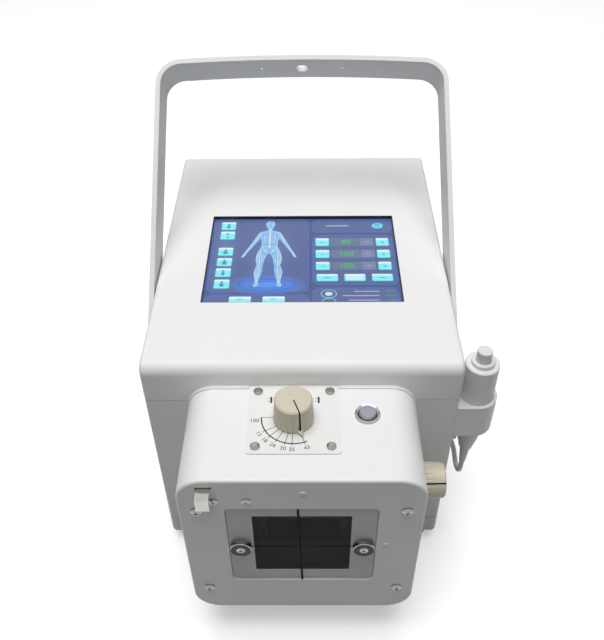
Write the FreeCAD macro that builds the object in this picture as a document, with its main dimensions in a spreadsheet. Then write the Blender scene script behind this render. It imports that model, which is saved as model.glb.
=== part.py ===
import FreeCAD, Part
import Sketcher
import math
import os
from FreeCAD import Vector, Rotation, Placement

# Portable x-ray generator with a beam limiter, a carrying yoke and a wired hand switch.
# Millimetres. +Z is up, -Y is the beam direction, the four feet stand on Z = 0.

SIZES = {
    # main casing
    "body_width": 230, "body_length": 284, "body_height": 210.4, "foot_height": 6.6,
    "cover_height": 34, "tray_height": 26.1, "shell_wall": 3, "seam_gap": 0.6,
    "lip_height": 4, "lip_wall": 2, "slip": 0.2, "front_bend": 9, "edge_round": 3, "tray_round": 8,
    # screen
    "screen_width": 156, "screen_length": 115, "screen_shift": 15, "glass_margin": 5,
    "glass_thick": 3, "module_height": 8, "bracket_thick": 2, "board_thick": 1.6,
    "bracket_margin": 14, "post_radius": 4, "board_drop": 8,
    # beam limiter hood
    "beam_height": 121.9, "hood_width": 165, "hood_above": 76.4, "hood_below": 86.6,
    "hood_depth": 82, "hood_wall": 3, "hood_corner": 20, "hood_edge": 2, "rim_thick": 3,
    "rim_proud": 1, "window_width": 68, "window_height": 69.4, "pane_width": 103,
    "pane_height": 91.5, "pane_thick": 1.5, "pane_recess": 1.8, "pane_corner": 4,
    "magnet_spacing": 86, "magnet_radius": 7.5, "magnet_height": 3.5, "cup_lip": 0.2,
    "hood_screw_inset": 12.5, "hood_screw_height": 99.5, "hood_screw_drop": 6.2,
    "screw_head_radius": 4, "screw_head_height": 2.4, "screw_radius": 2, "screw_length": 8,
    "column_radius": 3.5, "bump_radius": 2.8, "bump_height": 1.2, "upper_bump_x": 1,
    "upper_bump_rise": 62.8, "side_bump_x": 58.5, "side_bump_rise": 1.6,
    # dials
    "dial_shift": 5.5, "dial_reach": 30.5, "dial_width": 63.5, "dial_length": 60.6,
    "dial_thick": 1, "dial_corner": 2.5, "dial_screw_width": 50.6, "dial_screw_length": 48.6,
    "small_head_radius": 3.3, "small_head_height": 1.8, "small_screw_radius": 1.5,
    "small_screw_length": 6, "knob_base_radius": 14, "knob_top_radius": 12.9,
    "knob_height": 18.6, "knob_gap": 0.8, "knob_flutes": 20, "flute_radius": 1.1,
    "knob_chamfer": 1, "shaft_radius": 3, "bush_radius": 5, "running_gap": 0.05,
    "side_knob_height": 6.2, "side_standoff": 4,
    # shutter drive: a pinion between two racks closes both blades of a pair
    "gear_module": 1, "gear_teeth": 28, "gear_width": 5, "gear_backlash": 0.2, "gear_drop": 8.3,
    "rack_back": 4, "dial_turn": 110, "blade_thick": 3, "blade_top_gap": 12, "blade_side_gap": 4.8,
    "blade_length": 72, "blade_open": 27.4, "bracket_height": 8, "bracket_inset": 6,
    "arm_width": 10, "arm_start": 0.6, "arm_lap": 18, "arm_gap": 7.2, "arm_thick": 2.5,
    "crossing_gap": 0.8, "rack_lead": 6, "rack_tail": 2, "rack_end": 0.4,
    "guide_thick": 2.4, "guide_gap": 0.3,
    "guide_reach": 54.3, "guide_side_gap": 3.5, "guide_border": 6.25, "guide_window": 62,
    "column_step": 0.8, "notch_clearance": 1.5,
    "beam_port_radius": 25, "port_radius": 32,
    # lamp and mirror of the light field
    "lamp_size": 14, "mirror_width": 56, "mirror_length": 50, "mirror_thick": 1.5,
    "button_x": 45.2, "button_reach": 26.5, "button_ring_radius": 9, "button_ring_height": 1.8,
    "button_barrel_radius": 7.9, "button_barrel_length": 20, "button_radius": 6,
    "button_height": 1.6,
    # tape measure
    "tape_inset": 19, "tape_drop": 8.6, "drum_shift": 1.8, "tab_width": 9, "tab_reach": 9.5, "tab_drop": 11.6,
    "tab_thick": 1, "tape_width": 6, "tape_thick": 0.6, "tape_length": 60, "drum_radius": 15,
    "drum_width": 9, "tape_screw_drop": 13.2,
    # handle
    "handle_width": 31, "handle_thick": 4, "handle_gap": 1, "handle_length": 250,
    "handle_lean": 51.4, "handle_bend": 17, "handle_crown": 4, "pivot_reach": 50.7,
    "pivot_drop": 49.3, "pivot_radius": 4, "pivot_cap_radius": 11, "pivot_cap_height": 4,
    "washer_radius": 12, "stand_hole_radius": 5.25, "stand_pin_radius": 2.3,
    "stand_pin_spacing": 68,
    # hand switch
    "switch_x": 131, "switch_reach": 17.5, "switch_radius": 12.5, "switch_top": 204,
    "sleeve_length": 15.6, "switch_neck": 144, "cone_mid_height": 122, "cone_mid_radius": 8.1,
    "cone_end": 109, "cone_end_radius": 5.2, "holder_wall": 2.7, "holder_top": 171,
    "holder_bottom": 139.5, "holder_clearance": 0.3, "collar_radius": 8.65, "collar_height": 3.2,
    "switch_shoulder": 1.1, "seam_groove": 0.15, "trigger_radius": 5.45, "trigger_height": 9.3,
    "trigger_travel": 3, "boot_radius": 4, "boot_end_radius": 2.8, "boot_end": 91, "cord_radius": 2,
    "coil_x": 58, "coil_reach": 40,
    "coil_inner_radius": 16, "coil_outer_radius": 29, "coil_height": 12, "coil_floor": 0.1,
    "clip_reach": 37, "clip_length": 9, "clip_depth": 13.4, "clip_low": 92.5, "clip_height": 11.5,
    "clip_clearance": 1.2, "clip_bore_out": 6.5, "clip_bore_up": 6.1,
    # rear wall and inside
    "inlet_x": 78, "inlet_height": 62, "socket_x": 80, "socket_height": 60,
    "vent_slots": 9, "vent_width": 4, "vent_length": 72, "vent_pitch": 8, "fan_size": 80,
    "fan_depth": 25, "fan_height": 105, "chassis_height": 27, "chassis_thick": 3,
    "tank_width": 130, "tank_length": 120, "tank_height": 150,
    "foot_spacing_x": 199, "foot_spacing_y": 260, "foot_radius": 10,
}

doc = FreeCAD.newDocument("portable_xray")
sheet = doc.addObject("Spreadsheet::Sheet", "Sizes")
for row, (alias, number) in enumerate(SIZES.items(), start=1):
    sheet.set("A%d" % row, alias)
    sheet.set("B%d" % row, str(number))
    sheet.setAlias("B%d" % row, alias)
doc.recompute()


def e(text):
    """Expression text in which each size name points at its cell."""
    words = []
    word = ""
    for letter in text + " ":
        if letter.isalnum() or letter in "_.":
            word += letter
            continue
        words.append("Sizes." + word if word in SIZES else word)
        words.append(letter)
        word = ""
    return "".join(words).strip()


def number(text):
    return float(sheet.evalExpression(e(text)))


# Places that several pieces share.
FRONT = "(-body_length / 2)"
REAR = "(body_length / 2)"
TOP = "(foot_height + body_height)"
UPPER_SEAM = "(%s - cover_height)" % TOP
LOWER_SEAM = "(foot_height + tray_height)"
SIDE = "(body_width / 2)"
HOOD_FACE = "(%s - hood_depth)" % FRONT
HOOD_REAR = "(%s - rim_thick)" % FRONT
HOOD_TOP = "(beam_height + hood_above)"
HOOD_LOW = "(beam_height - hood_below)"
HOOD_SIDE = "(hood_width / 2)"
PLATE_TOP = "(%s + dial_thick)" % HOOD_TOP
DIAL_X = "(-dial_shift)"
DIAL_Y = "(%s - dial_reach)" % FRONT
SIDE_DIAL_Z = "(beam_height + side_knob_height)"
PITCH = "(gear_module * gear_teeth / 2)"
GEAR_TOP = "(%s - hood_wall - gear_drop)" % HOOD_TOP
GEAR_LOW = "(%s - gear_width)" % GEAR_TOP
GEAR_OUT = "(%s - hood_wall - gear_drop)" % HOOD_SIDE
GEAR_IN = "(%s - gear_width)" % GEAR_OUT
GUIDE_REAR = "(%s - guide_reach)" % FRONT
GUIDE_FRONT = "(%s - guide_thick)" % GUIDE_REAR
GUIDE_SIDE = "(%s - hood_wall - guide_side_gap)" % HOOD_SIDE
PANE_FACE = "(%s + pane_recess - pane_thick)" % HOOD_FACE
SCREW_Z = "(beam_height - hood_screw_drop)"
GLASS_TOP = "(%s - shell_wall)" % TOP
GLASS_LOW = "(%s - glass_thick)" % GLASS_TOP
MODULE_LOW = "(%s - module_height)" % GLASS_LOW
BRACKET_LOW = "(%s - bracket_thick)" % MODULE_LOW
SCREEN_Y = "(-screen_shift)"
PIVOT_Y = "(%s + pivot_reach)" % FRONT
PIVOT_Z = "(%s - pivot_drop)" % TOP
ARM_IN = "(%s + handle_gap)" % SIDE
ARM_OUT = "(%s + handle_thick)" % ARM_IN
SWITCH_Y = "(%s + switch_reach)" % FRONT
SWITCH_SEAM = "(switch_top - sleeve_length)"
BUTTON_Y = "(%s - button_reach)" % FRONT
CHASSIS_TOP = "(chassis_height + chassis_thick)"
INNER_REAR = "(%s - shell_wall)" % REAR
TAPE_X = "(-%s + tape_inset)" % HOOD_SIDE
TAPE_Z = "(%s - tape_drop)" % HOOD_TOP
DRUM_LEFT = "(%s - drum_width / 2 + drum_shift)" % TAPE_X

nodes = []


def keep(piece, label):
    """Name a finished piece as a sub-part."""
    piece.Label = label
    nodes.append(piece)
    return piece


def bind(obj, **expressions):
    for prop, text in expressions.items():
        obj.setExpression(prop.replace("__", "."), e(text))
    return obj


def put(obj, x="0", y="0", z="0"):
    return bind(obj, Placement__Base__x=x, Placement__Base__y=y, Placement__Base__z=z)


def box(name, x0, x1, y0, y1, z0, z1):
    block = doc.addObject("Part::Box", name)
    bind(block, Length="(%s) - (%s)" % (x1, x0), Width="(%s) - (%s)" % (y1, y0),
         Height="(%s) - (%s)" % (z1, z0))
    return put(block, x0, y0, z0)


TURNS = {"X": Rotation(Vector(0, 1, 0), 90), "Y": Rotation(Vector(1, 0, 0), -90), "Z": Rotation()}


def rod(name, axis, radius, x, y, z, length):
    """Cylinder that starts at x, y, z and runs along +axis."""
    bar = doc.addObject("Part::Cylinder", name)
    bar.Placement = Placement(Vector(), TURNS[axis])
    bind(bar, Radius=radius, Height=length)
    return put(bar, x, y, z)


def join(name, pieces):
    whole = doc.addObject("Part::MultiFuse", name)
    whole.Shapes = pieces
    return whole


def cut(name, base, tools):
    tool = tools[0] if len(tools) == 1 else join(name + "_tools", tools)
    rest = doc.addObject("Part::Cut", name)
    rest.Base = base
    rest.Tool = tool
    return rest


def round_edges(name, base, radius, test):
    """Round the edges of base whose middle point passes the test."""
    doc.recompute()
    rounded = doc.addObject("Part::Fillet", name)
    rounded.Base = base
    size = number(radius)
    picks = []
    for index, edge in enumerate(base.Shape.Edges, start=1):
        middle = edge.valueAt((edge.FirstParameter + edge.LastParameter) / 2)
        if test(edge, middle):
            picks.append((index, size, size))
    rounded.Edges = picks
    doc.recompute()
    return rounded


def copies(label, master, places):
    """Separate solids of one shape at several places."""
    links = []
    for index, (x, y, z) in enumerate(places):
        link = doc.addObject("App::Link", "%s_%d" % (label, index))
        link.LinkedObject = master
        link.LinkTransform = True
        put(link, x, y, z)
        links.append(link)
    group = doc.addObject("Part::Compound", label + "_group")
    group.Links = links
    return group


def body(name):
    return doc.addObject("PartDesign::Body", name)


def sketch(owner, name, role, offset="0"):
    """Sketch on an origin plane, moved along the plane's normal (+Z, -Y or +X)."""
    drawing = owner.newObject("Sketcher::SketchObject", name)
    plane = [feature for feature in owner.Origin.OriginFeatures if feature.Role == role][0]
    drawing.AttachmentSupport = [(plane, "")]
    drawing.MapMode = "FlatFace"
    return bind(drawing, AttachmentOffset__Base__z=offset)


def pin_point(drawing, geometry, vertex, x, y):
    for kind, place in (("DistanceX", x), ("DistanceY", y)):
        index = drawing.addConstraint(Sketcher.Constraint(kind, -1, 1, geometry, vertex, number(place)))
        drawing.setExpression("Constraints[%d]" % index, e(place))


def outline(drawing, points):
    """Closed outline, counter-clockwise, through points placed by bound distances.

    A point (x, y) starts a straight edge, and (x, y, radius) starts an arc to the next point.
    """
    spots = [Vector(number(point[0]), number(point[1]), 0) for point in points]
    first = drawing.GeometryCount
    for index, point in enumerate(points):
        start, end = spots[index], spots[(index + 1) % len(spots)]
        if len(point) == 2:
            drawing.addGeometry(Part.LineSegment(start, end))
            continue
        radius = number(point[2])
        chord = end - start
        rise = math.sqrt(max(radius ** 2 - chord.Length ** 2 / 4, 0))
        centre = (start + end) / 2 + Vector(-chord.y, chord.x, 0).normalize() * rise
        angles = [math.atan2(spot.y - centre.y, spot.x - centre.x) for spot in (start, end)]
        if angles[1] < angles[0]:
            angles[1] += 2 * math.pi
        ring = Part.Circle(centre, Vector(0, 0, 1), radius)
        drawing.addGeometry(Part.ArcOfCircle(ring, angles[0], angles[1]))
    for index, point in enumerate(points):
        before = first + (index - 1) % len(points)
        drawing.addConstraint(Sketcher.Constraint("Coincident", before, 2, first + index, 1))
        pin_point(drawing, first + index, 1, point[0], point[1])
        if len(point) == 3:
            radius = Sketcher.Constraint("Radius", first + index, number(point[2]))
            bound = drawing.addConstraint(radius)
            drawing.setExpression("Constraints[%d]" % bound, e(point[2]))
    return drawing


def rectangle(drawing, x0, x1, y0, y1):
    return outline(drawing, [(x0, y0), (x1, y0), (x1, y1), (x0, y1)])


def rounded(drawing, x0, x1, y0, y1, radius):
    """Rectangle with round corners."""
    left, right = "%s + (%s)" % (x0, radius), "%s - (%s)" % (x1, radius)
    low, high = "%s + (%s)" % (y0, radius), "%s - (%s)" % (y1, radius)
    return outline(drawing, [(left, y0), (right, y0, radius), (x1, low), (x1, high, radius),
                             (right, y1), (left, y1, radius), (x0, high), (x0, low, radius)])


def circle(drawing, x, y, radius):
    ring = drawing.addGeometry(Part.Circle(Vector(number(x), number(y), 0), Vector(0, 0, 1), number(radius)))
    pin_point(drawing, ring, 3, x, y)
    index = drawing.addConstraint(Sketcher.Constraint("Radius", ring, number(radius)))
    drawing.setExpression("Constraints[%d]" % index, e(radius))
    return drawing


def pad(owner, drawing, length):
    feature = owner.newObject("PartDesign::Pad", drawing.Name + "_pad")
    feature.Profile = drawing
    drawing.Visibility = False
    return bind(feature, Length=length)


def pocket(owner, drawing, length, reverse=False):
    """Cut along the sketch normal's opposite side, or along it when reversed."""
    feature = owner.newObject("PartDesign::Pocket", drawing.Name + "_pocket")
    feature.Profile = drawing
    feature.Reversed = reverse
    return bind(feature, Length=length)


def revolve(owner, drawing, axis="V_Axis"):
    feature = owner.newObject("PartDesign::Revolution", drawing.Name + "_turned")
    feature.Profile = drawing
    feature.ReferenceAxis = (drawing, [axis])
    feature.Angle = 360
    return feature


def body_fillet(owner, base, radius, test, name):
    doc.recompute()
    feature = owner.newObject("PartDesign::Fillet", name)
    names = []
    for index, edge in enumerate(base.Shape.Edges, start=1):
        middle = edge.valueAt((edge.FirstParameter + edge.LastParameter) / 2)
        if test(edge, middle):
            names.append("Edge%d" % index)
    feature.Base = (base, names)
    bind(feature, Radius=radius)
    doc.recompute()
    return feature


def upright(edge, middle):
    return len(edge.Vertexes) == 2 and abs(edge.Vertexes[0].Point.z - edge.Vertexes[1].Point.z) > 1 \
        and (edge.Vertexes[0].Point - edge.Vertexes[1].Point).cross(Vector(0, 0, 1)).Length < 0.01


def along_beam(edge, middle):
    return len(edge.Vertexes) == 2 and abs(edge.Vertexes[0].Point.y - edge.Vertexes[1].Point.y) > 0.5 \
        and (edge.Vertexes[0].Point - edge.Vertexes[1].Point).cross(Vector(0, 1, 0)).Length < 0.01


def near(value, text, tolerance=0.01):
    return abs(value - number(text)) < tolerance


# Casing

def top_cover():
    case = body("top_cover")
    low = "%s + seam_gap / 2" % UPPER_SEAM
    block = pad(case, rectangle(sketch(case, "cover_plan", "XY_Plane", low),
                                "-body_width / 2", SIDE, FRONT, REAR), "%s - (%s)" % (TOP, low))
    bend = body_fillet(case, block, "front_bend",
                       lambda edge, mid: near(mid.z, TOP) and near(mid.y, FRONT), "cover_front_bend")
    back = body_fillet(case, bend, "edge_round",
                       lambda edge, mid: near(mid.z, TOP) and near(mid.y, REAR), "cover_rear_bend")
    body_fillet(case, back, "edge_round",
                lambda edge, mid: near(abs(mid.x), SIDE) and mid.z > number(low) + 0.1, "cover_side_edges")
    inner = rectangle(sketch(case, "cover_hollow", "XY_Plane", low),
                      "-%s + shell_wall" % SIDE, "%s - shell_wall" % SIDE,
                      "%s + shell_wall" % FRONT, "%s - shell_wall" % REAR)
    hollow = pocket(case, inner, "%s - (%s)" % (GLASS_TOP, low), True)
    hollow = body_fillet(case, hollow, "front_bend - shell_wall",
                         lambda edge, mid: near(mid.z, GLASS_TOP) and near(mid.y, "%s + shell_wall" % FRONT),
                         "cover_inner_bend")
    opening = rectangle(sketch(case, "screen_opening", "XY_Plane", GLASS_TOP),
                        "-screen_width / 2", "screen_width / 2",
                        "%s - screen_length / 2" % SCREEN_Y, "%s + screen_length / 2" % SCREEN_Y)
    pocket(case, opening, "shell_wall + 1", True)
    posts = sketch(case, "bracket_posts", "XY_Plane", MODULE_LOW)
    for x_sign in "-+":
        for y_sign in "-+":
            circle(posts, "%s(screen_width / 2 + bracket_margin)" % x_sign,
                   "%s %s(screen_length / 2 - 8)" % (SCREEN_Y, y_sign), "post_radius")
    pad(case, posts, "%s - %s" % (GLASS_TOP, MODULE_LOW))
    keep(case, "top_cover")


def main_housing():
    case = body("main_housing")
    low = "%s + seam_gap / 2" % LOWER_SEAM
    high = "%s - seam_gap / 2" % UPPER_SEAM
    block = pad(case, rectangle(sketch(case, "housing_plan", "XY_Plane", low),
                                "-body_width / 2", SIDE, FRONT, REAR), "%s - (%s)" % (high, low))
    body_fillet(case, block, "edge_round", upright, "housing_corners")
    wall = "shell_wall + slip"
    lip = rectangle(sketch(case, "housing_lip", "XY_Plane", high), "-%s + %s" % (SIDE, wall),
                    "%s - (%s)" % (SIDE, wall), "%s + %s" % (FRONT, wall), "%s - (%s)" % (REAR, wall))
    pad(case, lip, "lip_height")
    inner = rectangle(sketch(case, "housing_hollow", "XY_Plane", low),
                      "-%s + shell_wall + slip + lip_wall" % SIDE, "%s - shell_wall - slip - lip_wall" % SIDE,
                      "%s + shell_wall + slip + lip_wall" % FRONT, "%s - shell_wall - slip - lip_wall" % REAR)
    pocket(case, inner, "%s - (%s) + lip_height" % (high, low), True)
    side_room = rectangle(sketch(case, "housing_side_room", "XY_Plane", low),
                          "-%s + shell_wall" % SIDE, "%s - shell_wall" % SIDE,
                          "%s + shell_wall" % FRONT, "%s - shell_wall" % REAR)
    pocket(case, side_room, "%s - (%s) - lip_height" % (high, low), True)
    port = circle(sketch(case, "port_hole", "XZ_Plane", "body_length / 2 - shell_wall - 3"),
                  "0", "beam_height", "port_radius + slip")
    pocket(case, port, "8", True)
    pivots = sketch(case, "pivot_holes", "YZ_Plane", "-body_width")
    circle(pivots, PIVOT_Y, PIVOT_Z, "pivot_radius + slip")
    pocket(case, pivots, "body_width * 2", True)
    vents = sketch(case, "vent_slot", "XZ_Plane", "-%s - 1" % REAR)
    rectangle(vents, "-vent_length / 2", "vent_length / 2",
              "fan_height - (vent_slots - 1) * vent_pitch / 2 - vent_width / 2",
              "fan_height - (vent_slots - 1) * vent_pitch / 2 + vent_width / 2")
    slot = pocket(case, vents, "shell_wall + 8", True)
    slots = case.newObject("PartDesign::LinearPattern", "vent_slots")
    slots.Originals = [slot]
    slots.Direction = (vents, ["V_Axis"])
    bind(slots, Length="(vent_slots - 1) * vent_pitch", Occurrences="vent_slots")
    case.Tip = slots
    doc.recompute()
    rear = sketch(case, "rear_openings", "XZ_Plane", "-%s - 1" % REAR)
    rectangle(rear, "-inlet_x - 13.7", "-inlet_x + 13.7", "inlet_height - 23.7", "inlet_height + 23.7")
    circle(rear, "socket_x", "socket_height", "6.2")
    pocket(case, rear, "shell_wall + 8", True)
    keep(case, "main_housing")


def base_tray():
    case = body("base_tray")
    high = "%s - seam_gap / 2" % LOWER_SEAM
    block = pad(case, rectangle(sketch(case, "tray_plan", "XY_Plane", "foot_height"),
                                "-body_width / 2", SIDE, FRONT, REAR), "%s - foot_height" % high)
    corners = body_fillet(case, block, "edge_round", upright, "tray_corners")
    body_fillet(case, corners, "tray_round",
                lambda edge, mid: near(mid.z, "foot_height") and near(abs(mid.x), SIDE), "tray_rounds")
    wall = "shell_wall"
    inner = rectangle(sketch(case, "tray_hollow", "XY_Plane", "foot_height + shell_wall"),
                      "-%s + %s" % (SIDE, wall), "%s - %s" % (SIDE, wall),
                      "%s + %s" % (FRONT, wall), "%s - %s" % (REAR, wall))
    hollow = pocket(case, inner, "tray_height", True)
    body_fillet(case, hollow, "tray_round - shell_wall",
                lambda edge, mid: near(mid.z, "foot_height + shell_wall")
                and near(abs(mid.x), "%s - shell_wall" % SIDE), "tray_inner_rounds")
    lip = sketch(case, "tray_lip", "XY_Plane", high)
    outer = "shell_wall + slip"
    inside = "shell_wall + slip + lip_wall"
    for inset in (outer, inside):
        rectangle(lip, "-%s + %s" % (SIDE, inset), "%s - (%s)" % (SIDE, inset),
                  "%s + %s" % (FRONT, inset), "%s - (%s)" % (REAR, inset))
    pad(case, lip, "lip_height")
    rail = sketch(case, "tray_lip_root", "XY_Plane", "%s - lip_height" % high)
    for inset in ("shell_wall - 0.5", inside):
        rectangle(rail, "-%s + %s" % (SIDE, inset), "%s - (%s)" % (SIDE, inset),
                  "%s + %s" % (FRONT, inset), "%s - (%s)" % (REAR, inset))
    pad(case, rail, "lip_height")
    posts = sketch(case, "tray_posts", "XY_Plane", "foot_height + shell_wall - 0.5")
    for x, y in foot_places():
        circle(posts, x, y, "post_radius + 2")
    pad(case, posts, "chassis_height - foot_height - shell_wall + 0.5")
    holes = sketch(case, "foot_screw_holes", "XY_Plane", "foot_height")
    for x, y in foot_places():
        circle(holes, x, y, "screw_radius + slip")
    pocket(case, holes, "chassis_height - foot_height", True)
    keep(case, "base_tray")


def foot_places():
    return [("%sfoot_spacing_x / 2" % x_sign, "%sfoot_spacing_y / 2" % y_sign)
            for x_sign in "-+" for y_sign in "-+"]


def feet():
    foot = body("foot")
    profile = sketch(foot, "foot_profile", "XZ_Plane")
    outline(profile, [("screw_radius + slip", "foot_height / 2"),
                      ("screw_head_radius + slip", "foot_height / 2"),
                      ("screw_head_radius + slip", "0"), ("foot_radius - 1", "0"),
                      ("foot_radius", "foot_height"), ("screw_radius + slip", "foot_height")])
    revolve(foot, profile)
    keep(copies("rubber_feet", foot, [(x, y, "0") for x, y in foot_places()]), "rubber_feet")
    screw = body("foot_screw")
    profile = sketch(screw, "foot_screw_profile", "XZ_Plane")
    outline(profile, [("0", "foot_height / 2 - 2.2"), ("screw_head_radius", "foot_height / 2 - 2.2"),
                      ("screw_head_radius", "foot_height / 2"), ("screw_radius", "foot_height / 2"),
                      ("screw_radius", "chassis_height"), ("0", "chassis_height")])
    revolve(screw, profile)
    keep(copies("foot_screws", screw, [(x, y, "0") for x, y in foot_places()]), "foot_screws")


def pan_screw(name, head_radius, head_height, radius, length):
    """Pan-head screw, head up at Z = 0, with a crossed recess."""
    screw = body(name)
    profile = sketch(screw, name + "_profile", "XZ_Plane")
    outline(profile, [("0", "-%s" % length), (radius, "-%s" % length), (radius, "0"),
                      (head_radius, "0"), (head_radius, "%s * 0.45" % head_height),
                      ("%s * 0.62" % head_radius, head_height), ("0", head_height)])
    revolve(screw, profile)
    cross = sketch(screw, name + "_cross", "XY_Plane", head_height)
    arm = "%s * 0.5" % head_radius
    slot = "%s * 0.11" % head_radius
    outline(cross, [("-%s" % arm, "-%s" % slot), ("-%s" % slot, "-%s" % slot), ("-%s" % slot, "-%s" % arm),
                    (slot, "-%s" % arm), (slot, "-%s" % slot), (arm, "-%s" % slot), (arm, slot),
                    (slot, slot), (slot, arm), ("-%s" % slot, arm), ("-%s" % slot, slot),
                    ("-%s" % arm, slot)])
    pocket(screw, cross, "%s * 0.6" % head_height)
    return screw


def faced(name, screw):
    """The same screw, turned so that its head looks forward along -Y."""
    turned = doc.addObject("App::Link", name)
    turned.LinkedObject = screw
    turned.LinkTransform = True
    turned.Placement = Placement(Vector(), Rotation(Vector(1, 0, 0), 90))
    holder = doc.addObject("Part::Compound", name + "_solid")
    holder.Links = [turned]
    return holder


# Screen

def screen():
    edge_x = "screen_width / 2 + glass_margin"
    edge_y = "screen_length / 2 + glass_margin"
    front, back = "%s - (%s)" % (SCREEN_Y, edge_y), "%s + %s" % (SCREEN_Y, edge_y)
    keep(box("touch_glass", "-(%s)" % edge_x, edge_x, front, back, GLASS_LOW, GLASS_TOP), "touch_glass")
    keep(box("display_module", "-(%s)" % edge_x, edge_x, front, back, MODULE_LOW, GLASS_LOW),
         "display_module")
    wide = "screen_width / 2 + bracket_margin + post_radius"
    plate = box("bracket_plate", "-(%s)" % wide, wide, front, back, BRACKET_LOW, MODULE_LOW)
    window = box("bracket_window", "-40", "40", "%s - 30" % SCREEN_Y, "%s + 30" % SCREEN_Y,
                 "%s - 1" % BRACKET_LOW, "%s + 1" % MODULE_LOW)
    keep(cut("bracket_cut", plate, [window]), "display_bracket")
    board_top = "%s - board_drop" % BRACKET_LOW
    board = box("board", "-62", "62", "%s - 45" % SCREEN_Y, "%s + 45" % SCREEN_Y,
                "%s - board_thick" % board_top, board_top)
    standoffs = [rod("standoff_%d" % i, "Z", "2.5", x, "%s %s 40" % (SCREEN_Y, sign), board_top, "board_drop")
                 for i, (x, sign) in enumerate((("-56", "-"), ("-56", "+"), ("56", "-"), ("56", "+")))]
    chips = [box("chip_%d" % i, "%d" % x, "%d" % (x + w), "%d" % y, "%d" % (y + d),
                 board_top, "%s + %s" % (board_top, h))
             for i, (x, y, w, d, h) in enumerate(((-50, -30, 22, 22, 2), (-10, -40, 30, 14, 3),
                                                  (28, 0, 16, 16, 5)))]
    keep(join("control_board_solid", [board] + standoffs + chips), "control_board")


# Beam limiter

def hood_outline(owner, name, offset, grow):
    return rounded(sketch(owner, name, "XZ_Plane", offset), "-%s - (%s)" % (HOOD_SIDE, grow),
                   "%s + %s" % (HOOD_SIDE, grow), "%s - (%s)" % (HOOD_LOW, grow),
                   "%s + %s" % (HOOD_TOP, grow), "hood_corner + (%s)" % grow)


def rim():
    plate = body("rim")
    pad(plate, hood_outline(plate, "rim_face", "body_length / 2", "rim_proud"), "rim_thick")
    hole = circle(sketch(plate, "rim_port", "XZ_Plane", "body_length / 2 - 1"), "0", "beam_height",
                  "beam_port_radius")
    pocket(plate, hole, "rim_thick + 2", True)
    relief = rectangle(sketch(plate, "rim_relief", "XZ_Plane", "body_length / 2 - 1"),
                       "%s - dial_width / 2 - slip" % DIAL_X, "%s + dial_width / 2 + slip" % DIAL_X,
                       HOOD_TOP, "%s + 5" % HOOD_TOP)
    pocket(plate, relief, "rim_thick + 2", True)
    keep(plate, "collimator_rim")


def hood():
    case = body("hood")
    depth = "hood_depth - rim_thick"
    block = pad(case, hood_outline(case, "hood_face", "body_length / 2 + rim_thick", "0"), depth)
    body_fillet(case, block, "hood_edge", lambda edge, mid: near(mid.y, HOOD_FACE), "hood_front_edge")
    inner = hood_outline(case, "hood_hollow", "body_length / 2 + rim_thick", "-hood_wall")
    pocket(case, inner, "%s - hood_wall" % depth, True)
    seat = rounded(sketch(case, "pane_seat", "XZ_Plane", "-%s" % HOOD_FACE),
                   "-pane_width / 2 - slip", "pane_width / 2 + slip",
                   "beam_height - pane_height / 2 - slip", "beam_height + pane_height / 2 + slip",
                   "pane_corner + slip")
    pocket(case, seat, "pane_recess")
    window = rectangle(sketch(case, "window", "XZ_Plane", "-%s" % HOOD_FACE),
                       "-window_width / 2", "window_width / 2",
                       "beam_height - window_height / 2", "beam_height + window_height / 2")
    pocket(case, window, "hood_wall + 1")
    holes = sketch(case, "front_screw_holes", "XZ_Plane", "-%s" % HOOD_FACE)
    for x, z in hood_screw_places():
        circle(holes, x, z, "screw_radius + slip")
    for x, z in tape_screw_places():
        circle(holes, x, z, "small_screw_radius + slip")
    for sign in "-+":
        circle(holes, "%smagnet_spacing / 2" % sign, "beam_height", "small_screw_radius + slip")
    rectangle(holes, "%s - tab_width / 2 - 1" % TAPE_X, "%s + tab_width / 2 + 1" % TAPE_X,
              "%s - 1.2" % TAPE_Z, "%s + 2.2" % TAPE_Z)
    pocket(case, holes, "hood_wall + 1")
    roof = sketch(case, "roof_holes", "XY_Plane", HOOD_TOP)
    circle(roof, DIAL_X, DIAL_Y, "bush_radius")
    circle(roof, "button_x", BUTTON_Y, "button_barrel_radius + slip")
    for x, y in dial_screw_places():
        circle(roof, x, y, "small_screw_radius + slip")
    pocket(case, roof, "hood_wall + 1")
    side = circle(sketch(case, "side_hole", "YZ_Plane", HOOD_SIDE), DIAL_Y, SIDE_DIAL_Z, "bush_radius")
    pocket(case, side, "hood_wall + 1")
    keep(case, "collimator_cover")


def hood_screw_places():
    inset = "(%s - hood_screw_inset)" % HOOD_SIDE
    return [(x_sign + inset, "%s %shood_screw_height / 2" % (SCREW_Z, z_sign))
            for x_sign in "-+" for z_sign in "-+"]


def tape_screw_places():
    return [("%s + 5.5" % TAPE_X, "%s - tape_screw_drop" % TAPE_Z),
            ("%s + 27.1" % TAPE_X, "%s - tape_screw_drop" % TAPE_Z)]


def dial_screw_places():
    return [("%s %sdial_screw_width / 2" % (DIAL_X, x_sign), "%s %sdial_screw_length / 2" % (DIAL_Y, y_sign))
            for x_sign in "-+" for y_sign in "-+"]


def pane():
    plate = body("pane")
    face = rounded(sketch(plate, "pane_face", "XZ_Plane", "-%s - pane_thick" % PANE_FACE),
                   "-pane_width / 2", "pane_width / 2", "beam_height - pane_height / 2",
                   "beam_height + pane_height / 2", "pane_corner")
    pad(plate, face, "pane_thick")
    holes = sketch(plate, "pane_holes", "XZ_Plane", "-%s" % PANE_FACE)
    for sign in "-+":
        circle(holes, "%smagnet_spacing / 2" % sign, "beam_height", "small_screw_radius + slip")
    pocket(plate, holes, "pane_thick + 1")
    keep(plate, "window_pane")


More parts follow.
